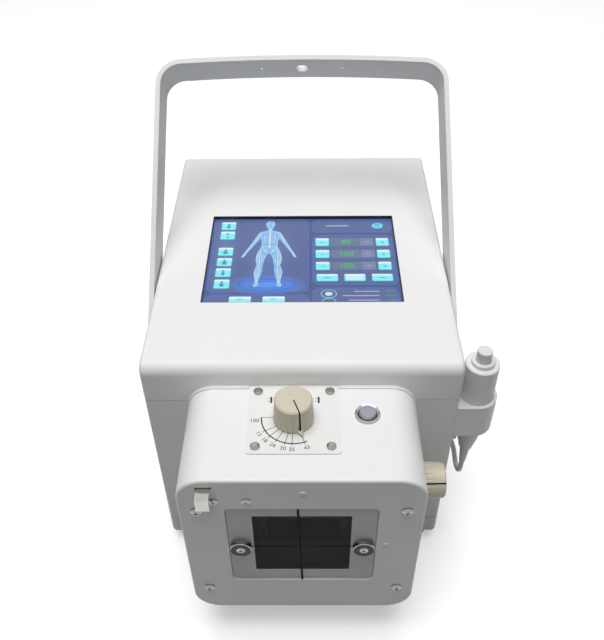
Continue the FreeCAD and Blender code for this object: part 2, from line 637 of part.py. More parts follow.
def magnets():
    """Pot magnets: a plated cup round a black core, held by a countersunk screw."""
    cup = body("magnet_cup")
    profile = sketch(cup, "cup_profile", "XZ_Plane")
    core = "magnet_height - cup_lip"
    outline(profile, [("small_screw_radius + slip", "0"), ("magnet_radius", "0"),
                      ("magnet_radius", "magnet_height - 0.4"), ("magnet_radius - 0.4", "magnet_height"),
                      ("magnet_radius - 1", "magnet_height"), ("magnet_radius - 1", core),
                      ("small_head_radius + slip", core),
                      ("small_screw_radius + slip", "magnet_height - 1.7")])
    revolve(cup, profile)
    screw = body("magnet_screw")
    profile = sketch(screw, "magnet_screw_profile", "XZ_Plane")
    outline(profile, [("0", "-small_screw_length"), ("small_screw_radius", "-small_screw_length"),
                      ("small_screw_radius", "magnet_height - 1.7"),
                      ("small_head_radius", "magnet_height - 0.1"),
                      ("0", "magnet_height - 0.1")])
    revolve(screw, profile)
    cross = sketch(screw, "magnet_cross", "XY_Plane", "magnet_height - 0.1")
    rectangle(cross, "-small_head_radius * 0.55", "small_head_radius * 0.55", "-0.35", "0.35")
    slot = pocket(screw, cross, "1")
    cross = sketch(screw, "magnet_cross_2", "XY_Plane", "magnet_height - 0.1")
    rectangle(cross, "-0.35", "0.35", "-small_head_radius * 0.55", "small_head_radius * 0.55")
    pocket(screw, cross, "1")
    places = [("%smagnet_spacing / 2" % sign, PANE_FACE, "beam_height") for sign in "-+"]
    keep(copies("pot_magnets", faced("cup_faced", cup), places), "pot_magnets")
    return copies("magnet_screws", faced("magnet_screw_faced", screw), places)


def bumps():
    """Two soft bumper dots on the front face."""
    dot = body("bump")
    profile = sketch(dot, "bump_profile", "XZ_Plane")
    outline(profile, [("0", "0"), ("bump_radius", "0"), ("bump_radius * 0.9", "bump_height * 0.6"),
                      ("bump_radius * 0.6", "bump_height * 0.9"), ("0", "bump_height")])
    revolve(dot, profile)
    places = [("upper_bump_x", HOOD_FACE, "beam_height + upper_bump_rise"),
              ("side_bump_x", HOOD_FACE, "beam_height + side_bump_rise")]
    keep(copies("bumper_dots", faced("bump_faced", dot), places), "bumper_dots")


def columns():
    """Four threaded columns carry the guide plate and take the front screws."""
    column = body("column")
    profile = sketch(column, "column_section", "XZ_Plane", "body_length / 2 + rim_thick")
    circle(profile, "0", "0", "column_radius")
    pad(column, profile, "guide_reach - rim_thick")
    nose = sketch(column, "column_nose", "XZ_Plane", "body_length / 2 + rim_thick")
    circle(nose, "0", "0", "column_radius - column_step")
    pad(column, nose, "hood_depth - rim_thick - hood_wall")
    tap = sketch(column, "column_tap", "XZ_Plane", "hood_depth + body_length / 2 - hood_wall")
    circle(tap, "0", "0", "screw_radius")
    pocket(column, tap, "screw_length - hood_wall + 1")
    keep(copies("guide_columns", column, [(x, "0", z) for x, z in hood_screw_places()]), "guide_columns")


def guide_plate():
    """Both blade pairs slide on this plate, one pair on each face."""
    plate = body("guide")
    face = sketch(plate, "guide_face", "XZ_Plane", "body_length / 2 + guide_reach")
    half = "(hood_screw_height / 2 + guide_border)"
    rectangle(face, "-%s" % GUIDE_SIDE, GUIDE_SIDE, "%s - %s" % (SCREW_Z, half), "%s + %s" % (SCREW_Z, half))
    rectangle(face, "-guide_window / 2", "guide_window / 2",
              "beam_height - guide_window / 2", "beam_height + guide_window / 2")
    pad(plate, face, "guide_thick")
    notch = rectangle(sketch(plate, "guide_notch", "XZ_Plane", "body_length / 2 + guide_reach - 1"),
                      "%s - notch_clearance" % GEAR_IN, "%s + 1" % GUIDE_SIDE,
                      "beam_height - blade_open - bracket_height - notch_clearance",
                      "beam_height + blade_open + bracket_height + notch_clearance")
    pocket(plate, notch, "guide_thick + 2", True)
    holes = sketch(plate, "guide_holes", "XZ_Plane", "body_length / 2 + guide_reach - 1")
    for x, z in hood_screw_places():
        circle(holes, x, z, "column_radius - column_step")
    pocket(plate, holes, "guide_thick + 2", True)
    keep(plate, "shutter_guide")


# Shutter drive

def tooth_flank(radius, pitch_radius, half_width):
    """Half angle of an involute tooth at a radius, for a 20 degree rack."""
    pressure = math.radians(20)
    base = pitch_radius * math.cos(pressure)
    angle = math.acos(min(1.0, base / radius))
    return half_width / pitch_radius + (math.tan(pressure) - pressure) - (math.tan(angle) - angle)


def pinion_wire():
    """Involute pinion outline in XY, with one tooth on +X."""
    module = number("gear_module")
    teeth = int(number("gear_teeth"))
    pitch_radius = module * teeth / 2
    base = pitch_radius * math.cos(math.radians(20))
    root = pitch_radius - 1.25 * module
    tip = pitch_radius + 0.9 * module
    half_width = (math.pi * module / 2 - number("gear_backlash")) / 2
    steps = [base + (tip - base) * share for share in (0.0, 0.25, 0.6, 1.0)]
    points = []
    for tooth in range(teeth):
        middle = 2 * math.pi * tooth / teeth
        flank = [(radius, tooth_flank(radius, pitch_radius, half_width)) for radius in steps]
        flank.insert(0, (root, flank[0][1]))
        for radius, half in flank:
            points.append(Vector(radius * math.cos(middle - half), radius * math.sin(middle - half), 0))
        for radius, half in reversed(flank):
            points.append(Vector(radius * math.cos(middle + half), radius * math.sin(middle + half), 0))
    return Part.makePolygon(points + points[:1])


def rack_wire(start, end):
    """Rack outline along X, pitch line on Y = 0, teeth towards +Y, a gap centred on X = 0."""
    module = number("gear_module")
    pitch = math.pi * module
    half = (pitch / 2 - number("gear_backlash")) / 2
    slope = math.tan(math.radians(20))
    tip, root = 0.9 * module, -1.25 * module
    points = [Vector(end, root, 0), Vector(end, root - number("rack_back"), 0),
              Vector(start, root - number("rack_back"), 0), Vector(start, root, 0)]
    first = math.ceil((start - pitch / 2 + half + slope * 1.25 * module) / pitch)
    last = math.floor((end - pitch / 2 - half - slope * 1.25 * module) / pitch)
    for index in range(first, last + 1):
        centre = pitch * (index + 0.5)
        for side, height in ((-1, root), (-1, tip), (1, tip), (1, root)):
            points.append(Vector(centre + side * (half - slope * height), height, 0))
    return Part.makePolygon(points + points[:1])


def slab(wire, thickness):
    return Part.Face(wire).extrude(Vector(0, 0, thickness))


def solid(label, shape, placement=None):
    piece = doc.addObject("Part::Feature", label + "_solid")
    piece.Shape = shape
    if placement:
        piece.Placement = placement
    return piece


def dial_shafts():
    """Each knob's shaft carries a pinion on its inner end."""
    width = number("gear_width")
    gear = slab(pinion_wire(), width)
    radius = number("shaft_radius")
    top_start = Vector(number(DIAL_X), number(DIAL_Y), number(GEAR_LOW))
    reach = number("%s + knob_gap + 8 - %s" % (PLATE_TOP, GEAR_LOW))
    spindle = Part.makeCylinder(radius, reach)
    top = gear.fuse(spindle).removeSplitter()
    top.translate(top_start)
    keep(solid("top_shaft", top), "top_shaft")
    reach = number("%s + side_standoff + 8 - %s" % (HOOD_SIDE, GEAR_IN))
    side = gear.fuse(Part.makeCylinder(radius, reach)).removeSplitter()
    side.rotate(Vector(), Vector(0, 1, 0), 90)
    side.translate(Vector(number(GEAR_IN), number(DIAL_Y), number(SIDE_DIAL_Z)))
    keep(solid("side_shaft", side), "side_shaft")


def shutters():
    """Blade, bracket and rack of each shutter are one riveted unit."""
    pitch_radius = number(PITCH)
    travel = pitch_radius * math.radians(number("dial_turn"))
    back = number("rack_back")
    depth = back + 1.25 * number("gear_module")
    width = number("gear_width")
    x0, y0, z0 = number(DIAL_X), number(DIAL_Y), number(GEAR_LOW)
    beam = number("beam_height")
    thick = number("blade_thick")
    half, opened = number("blade_length") / 2, number("blade_open")
    gap = number("guide_gap")
    rear_face = number(GUIDE_REAR) + gap
    front_face = number(GUIDE_FRONT) - gap
    lead, tail, rack_end = number("rack_lead"), number("rack_tail"), number("rack_end")
    tall, inset = number("bracket_height"), number("bracket_inset")
    arm = number("arm_width")
    front_rack, rear_rack = y0 - pitch_radius - depth, y0 + pitch_radius + depth

    def plate(xa, xb, ya, yb, za, zb):
        return Part.makeBox(xb - xa, yb - ya, zb - za, Vector(xa, ya, za))

    # right blade, on the front rack of the top pinion
    overlap = number("%s - blade_side_gap - blade_open" % GEAR_IN)
    arm_low = beam + half - number("arm_lap")
    arm_left = opened + number("arm_start")
    bar = slab(rack_wire(-lead, arm_left + arm + rack_end - x0), width)
    bar.translate(Vector(x0, y0 - pitch_radius, z0))
    right = bar.fuse([
        plate(opened, opened + overlap, rear_face, rear_face + thick, beam - half, beam + half),
        plate(arm_left, arm_left + arm, rear_face, front_rack + back / 2, arm_low, z0 + width)])
    keep(solid("shutter_right", right.removeSplitter()), "shutter_right")

    # left blade, on the rear rack; its bracket passes under the pinion
    arm_left = number("%s + drum_width + arm_gap" % DRUM_LEFT)
    arm_right = arm_left + arm
    under = z0 - number("crossing_gap")
    sill = under - number("arm_thick")
    bar = slab(rack_wire(-lead, x0 - arm_left + tail + rack_end), width)
    bar.rotate(Vector(), Vector(0, 0, 1), 180)
    bar.translate(Vector(x0, y0 + pitch_radius, z0))
    left = bar.fuse([
        plate(-opened - overlap, -opened, rear_face, rear_face + thick, beam - half, beam + half),
        plate(arm_left, arm_right, rear_face, front_rack + back / 2, arm_low, under),
        plate(arm_left, arm_right, rear_face, rear_rack, sill, under),
        plate(arm_left, arm_right, rear_rack - back, rear_rack, sill, z0 + width)])
    keep(solid("shutter_left", left.removeSplitter()), "shutter_left")

    # upper blade, on the front rack of the side pinion
    overlap = number("%s - hood_wall - blade_top_gap - beam_height - blade_open" % HOOD_TOP)
    side_x, side_z = number(GEAR_IN), number(SIDE_DIAL_Z)
    bar = slab(rack_wire(-lead, travel + tail), width)
    bar.rotate(Vector(), Vector(0, 1, 0), -90)
    bar.translate(Vector(side_x + width, y0 - pitch_radius, side_z))
    blade_low = beam + opened
    upper = bar.fuse([
        plate(-half, half, front_face - thick, front_face, blade_low, blade_low + overlap),
        plate(half - inset, side_x + width, front_face - thick, front_face, blade_low, blade_low + tall),
        plate(side_x, side_x + width, front_face - thick, front_rack + back * 0.75, blade_low,
              blade_low + tall)])
    keep(solid("shutter_upper", upper.removeSplitter()), "shutter_upper")

    # lower blade, on the rear rack; its bracket passes outside the pinion
    bar = slab(rack_wire(1 - lead, travel + lead), width)
    bar.rotate(Vector(), Vector(0, 0, 1), 180)
    bar.rotate(Vector(), Vector(0, 1, 0), -90)
    bar.translate(Vector(side_x + width, y0 + pitch_radius, side_z))
    blade_high = beam - opened
    bracket_low = blade_high - tall
    outside = side_x + width + 1
    wing = outside + 2
    lower = bar.fuse([
        plate(-half, half, front_face - thick, front_face, blade_high - overlap, blade_high),
        plate(half - inset, wing, front_face - thick, front_face, bracket_low, blade_high),
        plate(outside, wing, front_face - thick, rear_rack, bracket_low, blade_high),
        plate(side_x, wing, rear_rack - back, rear_rack, bracket_low, blade_high)])
    keep(solid("shutter_lower", lower.removeSplitter()), "shutter_lower")


def knob_blank(name):
    """Moulded knob: tapered, fluted skirt and a chamfered top, standing on Z = 0."""
    knob = body(name)
    profile = sketch(knob, name + "_profile", "XZ_Plane")
    outline(profile, [("0", "8"), ("shaft_radius", "8"), ("shaft_radius", "0"), ("knob_base_radius", "0"),
                      ("knob_top_radius", "knob_height - knob_chamfer"),
                      ("knob_top_radius - knob_chamfer", "knob_height"), ("0", "knob_height")])
    revolve(knob, profile)
    flute = circle(sketch(knob, name + "_flute", "XY_Plane", "1.5"), "knob_base_radius + 0.35", "0",
                   "flute_radius")
    groove = pocket(knob, flute, "knob_height - knob_chamfer - 3", True)
    ring = knob.newObject("PartDesign::PolarPattern", name + "_flutes")
    ring.Originals = [groove]
    ring.Axis = (flute, ["N_Axis"])
    ring.Angle = 360
    bind(ring, Occurrences="knob_flutes")
    knob.Tip = ring
    doc.recompute()
    return knob


def knobs():
    top = knob_blank("top_knob")
    put(top, DIAL_X, DIAL_Y, "%s + knob_gap" % PLATE_TOP)
    keep(top, "top_knob")
    side = knob_blank("side_knob")
    side.Placement = Placement(Vector(), TURNS["X"])
    put(side, "%s + side_standoff" % HOOD_SIDE, DIAL_Y, SIDE_DIAL_Z)
    keep(side, "side_knob")


def bushes():
    """Threaded bushes guide both shafts through the hood."""
    pieces = []
    for name, axis, x, y, z, proud in (
            ("top_bush", "Z", DIAL_X, DIAL_Y, "%s - hood_wall - 4" % HOOD_TOP, "4 + hood_wall + dial_thick"),
            ("side_bush", "X", "%s - hood_wall - 4" % HOOD_SIDE, DIAL_Y, SIDE_DIAL_Z,
             "4 + hood_wall + side_standoff - 1")):
        wall = rod(name, axis, "bush_radius", x, y, z, proud)
        bore = rod(name + "_bore", axis, "shaft_radius + running_gap", x, y, z, proud)
        flange_x = x if axis == "Z" else "%s - hood_wall - 1.5" % HOOD_SIDE
        flange_z = "%s - hood_wall - 1.5" % HOOD_TOP if axis == "Z" else z
        collar = rod(name + "_collar", axis, "bush_radius + 2.5", flange_x, y, flange_z, "1.5")
        pieces.append(cut(name + "_cut", join(name + "_solid", [wall, collar]), [bore]))
    group = doc.addObject("Part::Compound", "bush_group")
    group.Links = pieces
    keep(group, "shaft_bushes")


def dial_plate():
    plate = body("dial")
    face = rounded(sketch(plate, "dial_face", "XY_Plane", HOOD_TOP),
                   "%s - dial_width / 2" % DIAL_X, "%s + dial_width / 2" % DIAL_X,
                   "%s - dial_length / 2" % DIAL_Y, "%s + dial_length / 2" % DIAL_Y, "dial_corner")
    pad(plate, face, "dial_thick")
    holes = sketch(plate, "dial_holes", "XY_Plane", PLATE_TOP)
    circle(holes, DIAL_X, DIAL_Y, "bush_radius")
    for x, y in dial_screw_places():
        circle(holes, x, y, "small_screw_radius + slip")
    pocket(plate, holes, "dial_thick + 1")
    keep(plate, "dial_plate")


def light_field():
    """Lamp, mirror and push button of the light that shows the beam."""
    size = "lamp_size"
    lamp_low = "%s - 22" % GEAR_LOW
    can = rod("lamp_can", "Z", "%s / 2" % size, "0", DIAL_Y, lamp_low, "10")
    sink = box("lamp_sink", "-10", "10", "%s - 10" % DIAL_Y, "%s + 10" % DIAL_Y, "%s + 10" % lamp_low,
               "%s + 13" % lamp_low)
    stay = box("lamp_stay", "-5", "5", "%s + 10" % DIAL_Y, HOOD_REAR, "%s + 10" % lamp_low,
               "%s + 13" % lamp_low)
    keep(join("lamp_solid", [can, sink, stay]), "field_lamp")
    mirror = doc.addObject("Part::Box", "mirror")
    mirror.Placement = Placement(Vector(), Rotation(Vector(1, 0, 0), 45))
    bind(mirror, Length="mirror_width", Width="mirror_length", Height="mirror_thick")
    put(mirror, "-mirror_width / 2", "%s - mirror_length * 0.354" % DIAL_Y,
        "beam_height - mirror_length * 0.354")
    keep(mirror, "field_mirror")
    ears = []
    for sign, name in (("-", "left"), ("+", "right")):
        inner = "mirror_width / 2 + 0.2"
        x0, x1 = ("-(%s) - 2" % inner, "-(%s)" % inner) if sign == "-" else (inner, "%s + 2" % inner)
        ears.append(box("mirror_ear_" + name, x0, x1, "%s - 14" % DIAL_Y, HOOD_REAR,
                        "beam_height - 20", "beam_height + 20"))
    bridge = box("mirror_bridge", "-mirror_width / 2 - 2.2", "mirror_width / 2 + 2.2",
                 "%s - 2" % HOOD_REAR, HOOD_REAR, "beam_height + 26", "beam_height + 32")
    links = [box("mirror_link_" + name, x0, x1, "%s - 2" % HOOD_REAR, HOOD_REAR, "beam_height + 18",
                 "beam_height + 32")
             for name, x0, x1 in (("left", "-mirror_width / 2 - 2.2", "-mirror_width / 2 - 0.2"),
                                  ("right", "mirror_width / 2 + 0.2", "mirror_width / 2 + 2.2"))]
    keep(join("mirror_bracket_solid", ears + [bridge] + links), "mirror_bracket")


def lamp_switch():
    ring = body("switch_ring")
    profile = sketch(ring, "switch_ring_profile", "XZ_Plane")
    bore = "button_radius + slip"
    outline(profile, [(bore, "-button_barrel_length"), ("button_barrel_radius", "-button_barrel_length"),
                      ("button_barrel_radius", "0"), ("button_ring_radius", "0"),
                      ("button_ring_radius - 0.3", "button_ring_height * 0.5"),
                      ("button_ring_radius - 1.4", "button_ring_height"),
                      (bore, "button_ring_height * 0.7")])
    revolve(ring, profile)
    put(ring, "button_x", BUTTON_Y, HOOD_TOP)
    keep(ring, "lamp_button_ring")
    cap = body("switch_cap")
    profile = sketch(cap, "switch_cap_profile", "XZ_Plane")
    top = "button_ring_height + button_height"
    outline(profile, [("0", "-8"), ("button_radius", "-8"), ("button_radius", "%s - 0.5" % top),
                      ("button_radius - 0.5", top), ("0", top)])
    revolve(cap, profile)
    put(cap, "button_x", BUTTON_Y, HOOD_TOP)
    keep(cap, "lamp_button")


def tape_measure():
    drum_y = "%s - 30" % FRONT
    drum_z = "%s - 0.3 - drum_radius - tape_thick / 2" % TAPE_Z
    left = DRUM_LEFT
    drum = rod("tape_drum", "X", "drum_radius", left, drum_y, drum_z, "drum_width")
    wall = "%s + hood_wall" % HOOD_FACE
    low = "%s - tape_screw_drop - 6" % TAPE_Z
    channel = box("tape_channel", left, "%s + drum_width" % left, wall, drum_y,
                  "%s - 10" % TAPE_Z, "%s - tape_thick / 2 - 0.2" % TAPE_Z)
    flange = box("tape_flange", left, "%s + 32" % TAPE_X, wall, "%s + 2" % wall, low,
                 "%s - tape_screw_drop + 6" % TAPE_Z)
    web = box("tape_web", left, "%s + drum_width" % left, wall, "%s + 2" % wall, low, "%s - 9" % TAPE_Z)
    case = join("tape_case_solid", [drum, channel, flange, web])
    holes = [rod("tape_tap_%d" % i, "Y", "small_screw_radius", x, "%s - 1" % wall, z, "4")
             for i, (x, z) in enumerate(tape_screw_places())]
    keep(cut("tape_case_cut", case, holes), "tape_case")
    face = "%s - tab_reach" % HOOD_FACE
    strip = box("tape_strip", "%s - tape_width / 2" % TAPE_X, "%s + tape_width / 2" % TAPE_X,
                "%s - 0.4" % HOOD_FACE, "%s + tape_length" % HOOD_FACE,
                "%s - tape_thick / 2" % TAPE_Z, "%s + tape_thick / 2" % TAPE_Z)
    keep(strip, "tape_blade")
    tab = body("tab")
    profile = sketch(tab, "tab_profile", "YZ_Plane", "%s - tab_width / 2" % TAPE_X)
    high = "%s + tape_thick / 2 + tab_thick" % TAPE_Z
    under = "%s + tape_thick / 2" % TAPE_Z
    outline(profile, [("%s - 0.4" % HOOD_FACE, under), ("%s - 0.4" % HOOD_FACE, high), (face, high),
                      (face, "%s - tab_drop" % high), ("%s + tab_thick" % face, "%s - tab_drop" % high),
                      ("%s + tab_thick" % face, under)])
    pad(tab, profile, "tab_width")
    keep(tab, "tape_tab")


# Handle

def handle():
    """Flat strap bent to a U, drawn upright on its pivots and then leaned back."""
    strap = body("handle")
    drawing = sketch(strap, "handle_profile", "XZ_Plane", "-handle_width / 2")
    foot = "-handle_width / 2"
    bend_top = "(handle_length - handle_crown)"
    crown = "((%s ^ 2 + handle_crown ^ 2) / (2 * handle_crown))" % ARM_IN
    outer_top = "(handle_length - %s + sqrt((%s + handle_thick) ^ 2 - %s ^ 2))" % (crown, crown, ARM_OUT)
    outer = outline(drawing, [
        (ARM_IN, foot), (ARM_OUT, foot), (ARM_OUT, outer_top, "%s + handle_thick" % crown),
        ("-%s" % ARM_OUT, outer_top), ("-%s" % ARM_OUT, foot), ("-%s" % ARM_IN, foot),
        ("-%s" % ARM_IN, "0"), (ARM_IN, "0")])
    pad(strap, outer, "handle_width")
    room = sketch(strap, "handle_room", "XZ_Plane", "-handle_width / 2 - 1")
    outline(room, [("-%s" % ARM_IN, "-handle_width"), (ARM_IN, "-handle_width"), (ARM_IN, bend_top, crown),
                   ("-%s" % ARM_IN, bend_top)])
    hollow = pocket(strap, room, "handle_width + 2", True)
    inner = body_fillet(strap, hollow, "handle_bend",
                        lambda edge, mid: along_beam(edge, mid) and near(abs(mid.x), ARM_IN)
                        and near(mid.z, bend_top), "handle_inner_bend")
    bends = body_fillet(strap, inner, "handle_bend + handle_thick",
                        lambda edge, mid: along_beam(edge, mid) and near(abs(mid.x), ARM_OUT)
                        and near(mid.z, outer_top), "handle_outer_bend")
    body_fillet(strap, bends, "handle_width / 2 - 0.05",
                       lambda edge, mid: near(mid.z, "-handle_width / 2")
                       and abs(edge.BoundBox.XLength - number("handle_thick")) < 0.01, "handle_ends")
    eyes = circle(sketch(strap, "pivot_eyes", "YZ_Plane", "-body_width"), "0", "0",
                  "pivot_radius + running_gap")
    pocket(strap, eyes, "body_width * 2", True)
    holes = sketch(strap, "stand_holes", "XY_Plane", "handle_length - handle_crown - 5")
    circle(holes, "0", "0", "stand_hole_radius")
    for sign in "-+":
        circle(holes, "%sstand_pin_spacing / 2" % sign, "0", "stand_pin_radius")
    pocket(strap, holes, "handle_crown + handle_thick + 12", True)
    strap.Placement = Placement(Vector(), Rotation(Vector(-1, 0, 0), number("handle_lean")))
    put(strap, "0", PIVOT_Y, PIVOT_Z)
    strap.setExpression("Placement.Rotation.Angle", e("handle_lean"))
    keep(strap, "handle")


def pivots():
    """Shoulder bolts and thrust washers of the handle."""
    bolt = body("pivot_bolt")
    profile = sketch(bolt, "pivot_profile", "XZ_Plane")
    inner = "-handle_thick - handle_gap - shell_wall - 6"
    outline(profile, [("0", inner), ("9", inner), ("9", "%s + 6" % inner), ("pivot_radius", "%s + 6" % inner),
                      ("pivot_radius", "0.3"),
                      ("pivot_cap_radius", "0.3"), ("pivot_cap_radius", "pivot_cap_height - 1"),
                      ("pivot_cap_radius - 1.5", "pivot_cap_height"), ("0", "pivot_cap_height")])
    revolve(bolt, profile)
    socket = circle(sketch(bolt, "pivot_socket", "XY_Plane", "pivot_cap_height"), "0", "0", "3")
    pocket(bolt, socket, "2.5")
    links = []
    for name, angle, x in (("right", 90, ARM_OUT), ("left", -90, "-%s" % ARM_OUT)):
        link = doc.addObject("App::Link", "pivot_" + name)
        link.LinkedObject = bolt
        link.LinkTransform = True
        link.Placement = Placement(Vector(), Rotation(Vector(0, 1, 0), angle))
        put(link, x, PIVOT_Y, PIVOT_Z)
        links.append(link)
    group = doc.addObject("Part::Compound", "pivot_group")
    group.Links = links
    keep(group, "handle_pivots")
    rings = []
    for name, x in (("right", SIDE), ("left", "-%s - handle_gap + 0.3" % SIDE)):
        ring = rod("washer_" + name, "X", "washer_radius", x, PIVOT_Y, PIVOT_Z, "handle_gap - 0.3")
        hole = rod("washer_hole_" + name, "X", "pivot_radius + slip", x, PIVOT_Y, PIVOT_Z, "handle_gap - 0.3")
        rings.append(cut("washer_cut_" + name, ring, [hole]))
    group = doc.addObject("Part::Compound", "washer_group")
    group.Links = rings
    keep(group, "handle_washers")


# Hand switch

def holder():
    """D-shaped block on the right wall: a bore for the handle and a floor that the cone sits in."""
    block = body("holder")
    drawing = sketch(block, "holder_plan", "XY_Plane", "holder_bottom")
    reach = "(switch_radius + holder_clearance + holder_wall)"
    near_side, far_side = "%s - %s" % (SWITCH_Y, reach), "%s + %s" % (SWITCH_Y, reach)
    outline(drawing, [(SIDE, near_side), ("switch_x", near_side, reach),
                      ("switch_x + %s" % reach, SWITCH_Y, reach),
                      ("switch_x", far_side), (SIDE, far_side)])
    pad(block, drawing, "holder_top - holder_bottom")
    bore = circle(sketch(block, "holder_bore", "XY_Plane", "holder_top"), "switch_x", SWITCH_Y,
                  "switch_radius + holder_clearance")
    pocket(block, bore, "holder_top - switch_neck")
    seat = circle(sketch(block, "holder_seat", "XY_Plane", "holder_top"), "switch_x", SWITCH_Y,
                  "switch_radius - 0.8")
    pocket(block, seat, "holder_top - holder_bottom + 1")
    keep(block, "switch_holder")


def hand_switch():
    def turned(name, label, points):
        piece = body(name)
        revolve(piece, outline(sketch(piece, name + "_profile", "XZ_Plane"), points))
        put(piece, "switch_x", SWITCH_Y, "0")
        return keep(piece, label)

    low_seam, high_seam = "%s - seam_groove" % SWITCH_SEAM, "%s + seam_groove" % SWITCH_SEAM
    turned("switch_lower", "handset_body", [
        ("0", "cone_end"), ("cone_end_radius", "cone_end"), ("cone_mid_radius", "cone_mid_height"),
        ("switch_radius - switch_shoulder", "switch_neck"),
        ("switch_radius", "switch_neck + switch_shoulder"),
        ("switch_radius", low_seam), ("0", low_seam)])
    turned("switch_upper", "handset_sleeve", [
        ("0", low_seam), ("switch_radius - seam_groove", low_seam),
        ("switch_radius - seam_groove", high_seam), ("switch_radius", high_seam),
        ("switch_radius", "switch_top - 0.8"), ("switch_radius - 0.8", "switch_top"),
        ("collar_radius", "switch_top"), ("collar_radius", "switch_top + collar_height - 0.5"),
        ("collar_radius - 0.5", "switch_top + collar_height"),
        ("trigger_radius + slip", "switch_top + collar_height"), ("trigger_radius + slip", "switch_top - 1"),
        ("0", "switch_top - 1")])
    low = "switch_top - 1 + trigger_travel"
    high = "switch_top + collar_height + trigger_height"
    turned("switch_trigger", "handset_button", [
        ("0", "%s + 0.3" % low), ("trigger_radius", "%s + 0.3" % low), ("trigger_radius", "%s - 0.6" % high),
        ("trigger_radius - 0.6", high), ("0", high)])
    turned("switch_boot", "strain_relief", [
        ("0", "boot_end"), ("boot_end_radius", "boot_end"), ("boot_end_radius", "boot_end + 2"),
        ("boot_radius", "cone_end - 1"), ("boot_radius", "cone_end"), ("0", "cone_end")])


# Cord

CORD_START = [("switch_x", SWITCH_Y, "boot_end"), (131, -124.5, 83), (130.9, -123.6, 75.5),
              (130.5, -119.6, 69.6), (129.8, -113.2, 69.6), (128.8, -109, 75.4), (127.2, -108.6, 83.5),
              (125, -110.2, 91), (122.8, -108.4, 97.2), (121.6, -102.5, 98.8), (121.5, -94, 98),
              (121.6, -84, 92.5), (122, -75.5, 81.5), (122.3, -70, 67), (122.5, -66.5, 50),
              (122.7, -64, 34), (123, -59.5, 20), (123.6, -51, 9.5), (124.4, -38, 3.9),
              (125.2, -18, 2.2), (126.3, 8, 2.1), (126.9, 40, 2.1), (125.6, 74, 2.1), (126.2, 104, 2.1),
              (124.6, 130, 2.1), (116.5, 147, 2.1), (101, 155.3, 2.1), (84, 156.8, 2.1), (69, 155.8, 2.1)]
CORD_END = [(80, 172, 60), (80, 179, 60), (80.2, 188.5, 57.8), (80.8, 198, 51), (81.4, 204.5, 40.5),
            (81, 208.2, 29), (77.5, 209.6, 19), (70, 209.2, 12.6), (61, 208.4, 10.2)]


def place(point):
    return Vector(*[number(part) if isinstance(part, str) else part for part in point])


def cord_tube(name, route):
    """Tube along straight runs joined by tangent arcs, each as large as its runs allow."""
    points = [place(point) for point in route]
    radius = number("cord_radius")
    edges = []
    start = points[0]
    radii = []
    for before, corner, after in zip(points, points[1:], points[2:]):
        inward = (before - corner)
        outward = (after - corner)
        half_turn = (math.pi - inward.getAngle(outward)) / 2
        setback = 0.45 * min(inward.Length, outward.Length)
        bend = setback / math.tan(half_turn)
        first = corner + inward.normalize() * setback
        last = corner + outward.normalize() * setback
        bisector = (inward + outward).normalize()
        middle = corner + bisector * (bend / math.cos(half_turn) - bend)
        edges.append(Part.LineSegment(start, first).toShape())
        edges.append(Part.Arc(first, middle, last).toShape())
        radii.append(round(bend, 1))
        start = last
    edges.append(Part.LineSegment(start, points[-1]).toShape())
    path = Part.Wire(edges)
    direction = points[1] - points[0]
    section = Part.Wire(Part.makeCircle(radius, points[0], direction))
    tube = path.makePipeShell([section], True, False)
    expected = math.pi * radius * radius * path.Length
    print(name, "length %.1f" % path.Length, "volume ratio %.4f" % (tube.Volume / expected), "radii", radii)
    return tube


def cord():
    keep(solid("cord_lead", cord_tube("cord_lead", CORD_START)), "handset_cord")
    coil = body("coil")
    profile = sketch(coil, "coil_profile", "XZ_Plane")
    inner, outer = "coil_inner_radius", "coil_outer_radius"
    outline(profile, [(inner, "cord_radius"), ("%s + cord_radius" % inner, "coil_floor"),
                      ("%s - cord_radius" % outer, "coil_floor"), (outer, "cord_radius"),
                      (outer, "coil_height - cord_radius"), ("%s - cord_radius" % outer, "coil_height"),
                      ("%s + cord_radius" % inner, "coil_height"), (inner, "coil_height - cord_radius")])
    revolve(coil, profile)
    put(coil, "coil_x", "%s + coil_reach" % REAR)
    keep(coil, "cord_coil")
    keep(solid("cord_tail", cord_tube("cord_tail", CORD_END)), "cord_tail")
    plug = body("plug")
    profile = sketch(plug, "plug_profile", "XZ_Plane")
    outline(profile, [("0", "-30"), ("2.8", "-30"), ("3.8", "-18"), ("6.5", "-17"), ("6.5", "-3.2"),
                      ("4.5", "-3.2"), ("4.5", "-0.2"), ("4.5", "5"), ("0", "5")])
    revolve(plug, profile)
    plug.Placement = Placement(Vector(), Rotation(Vector(1, 0, 0), 90))
    put(plug, "socket_x", REAR, "socket_height")
    keep(plug, "cord_plug")
    inlet = body("socket")
    profile = sketch(inlet, "socket_profile", "XZ_Plane")
    outline(profile, [("4.7", "-3"), ("8.5", "-3"), ("8.5", "0"), ("6", "0"), ("6", "9"), ("0", "9"),
                      ("0", "6"), ("4.7", "6")])
    revolve(inlet, profile)
    inlet.Placement = Placement(Vector(), Rotation(Vector(1, 0, 0), 90))
    put(inlet, "socket_x", REAR, "socket_height")
    keep(inlet, "cord_socket")
    start = "(%s + clip_reach)" % FRONT
    block = box("clip_block", SIDE, "%s + clip_depth" % SIDE, start, "%s + clip_length" % start,
                "clip_low", "clip_low + clip_height")
    hole = rod("clip_hole", "Y", "cord_radius + clip_clearance", "%s + clip_bore_out" % SIDE,
               "%s - 1" % start, "clip_low + clip_bore_up", "clip_length + 2")
    keep(cut("clip_cut", block, [hole]), "cord_clip")


# Inside

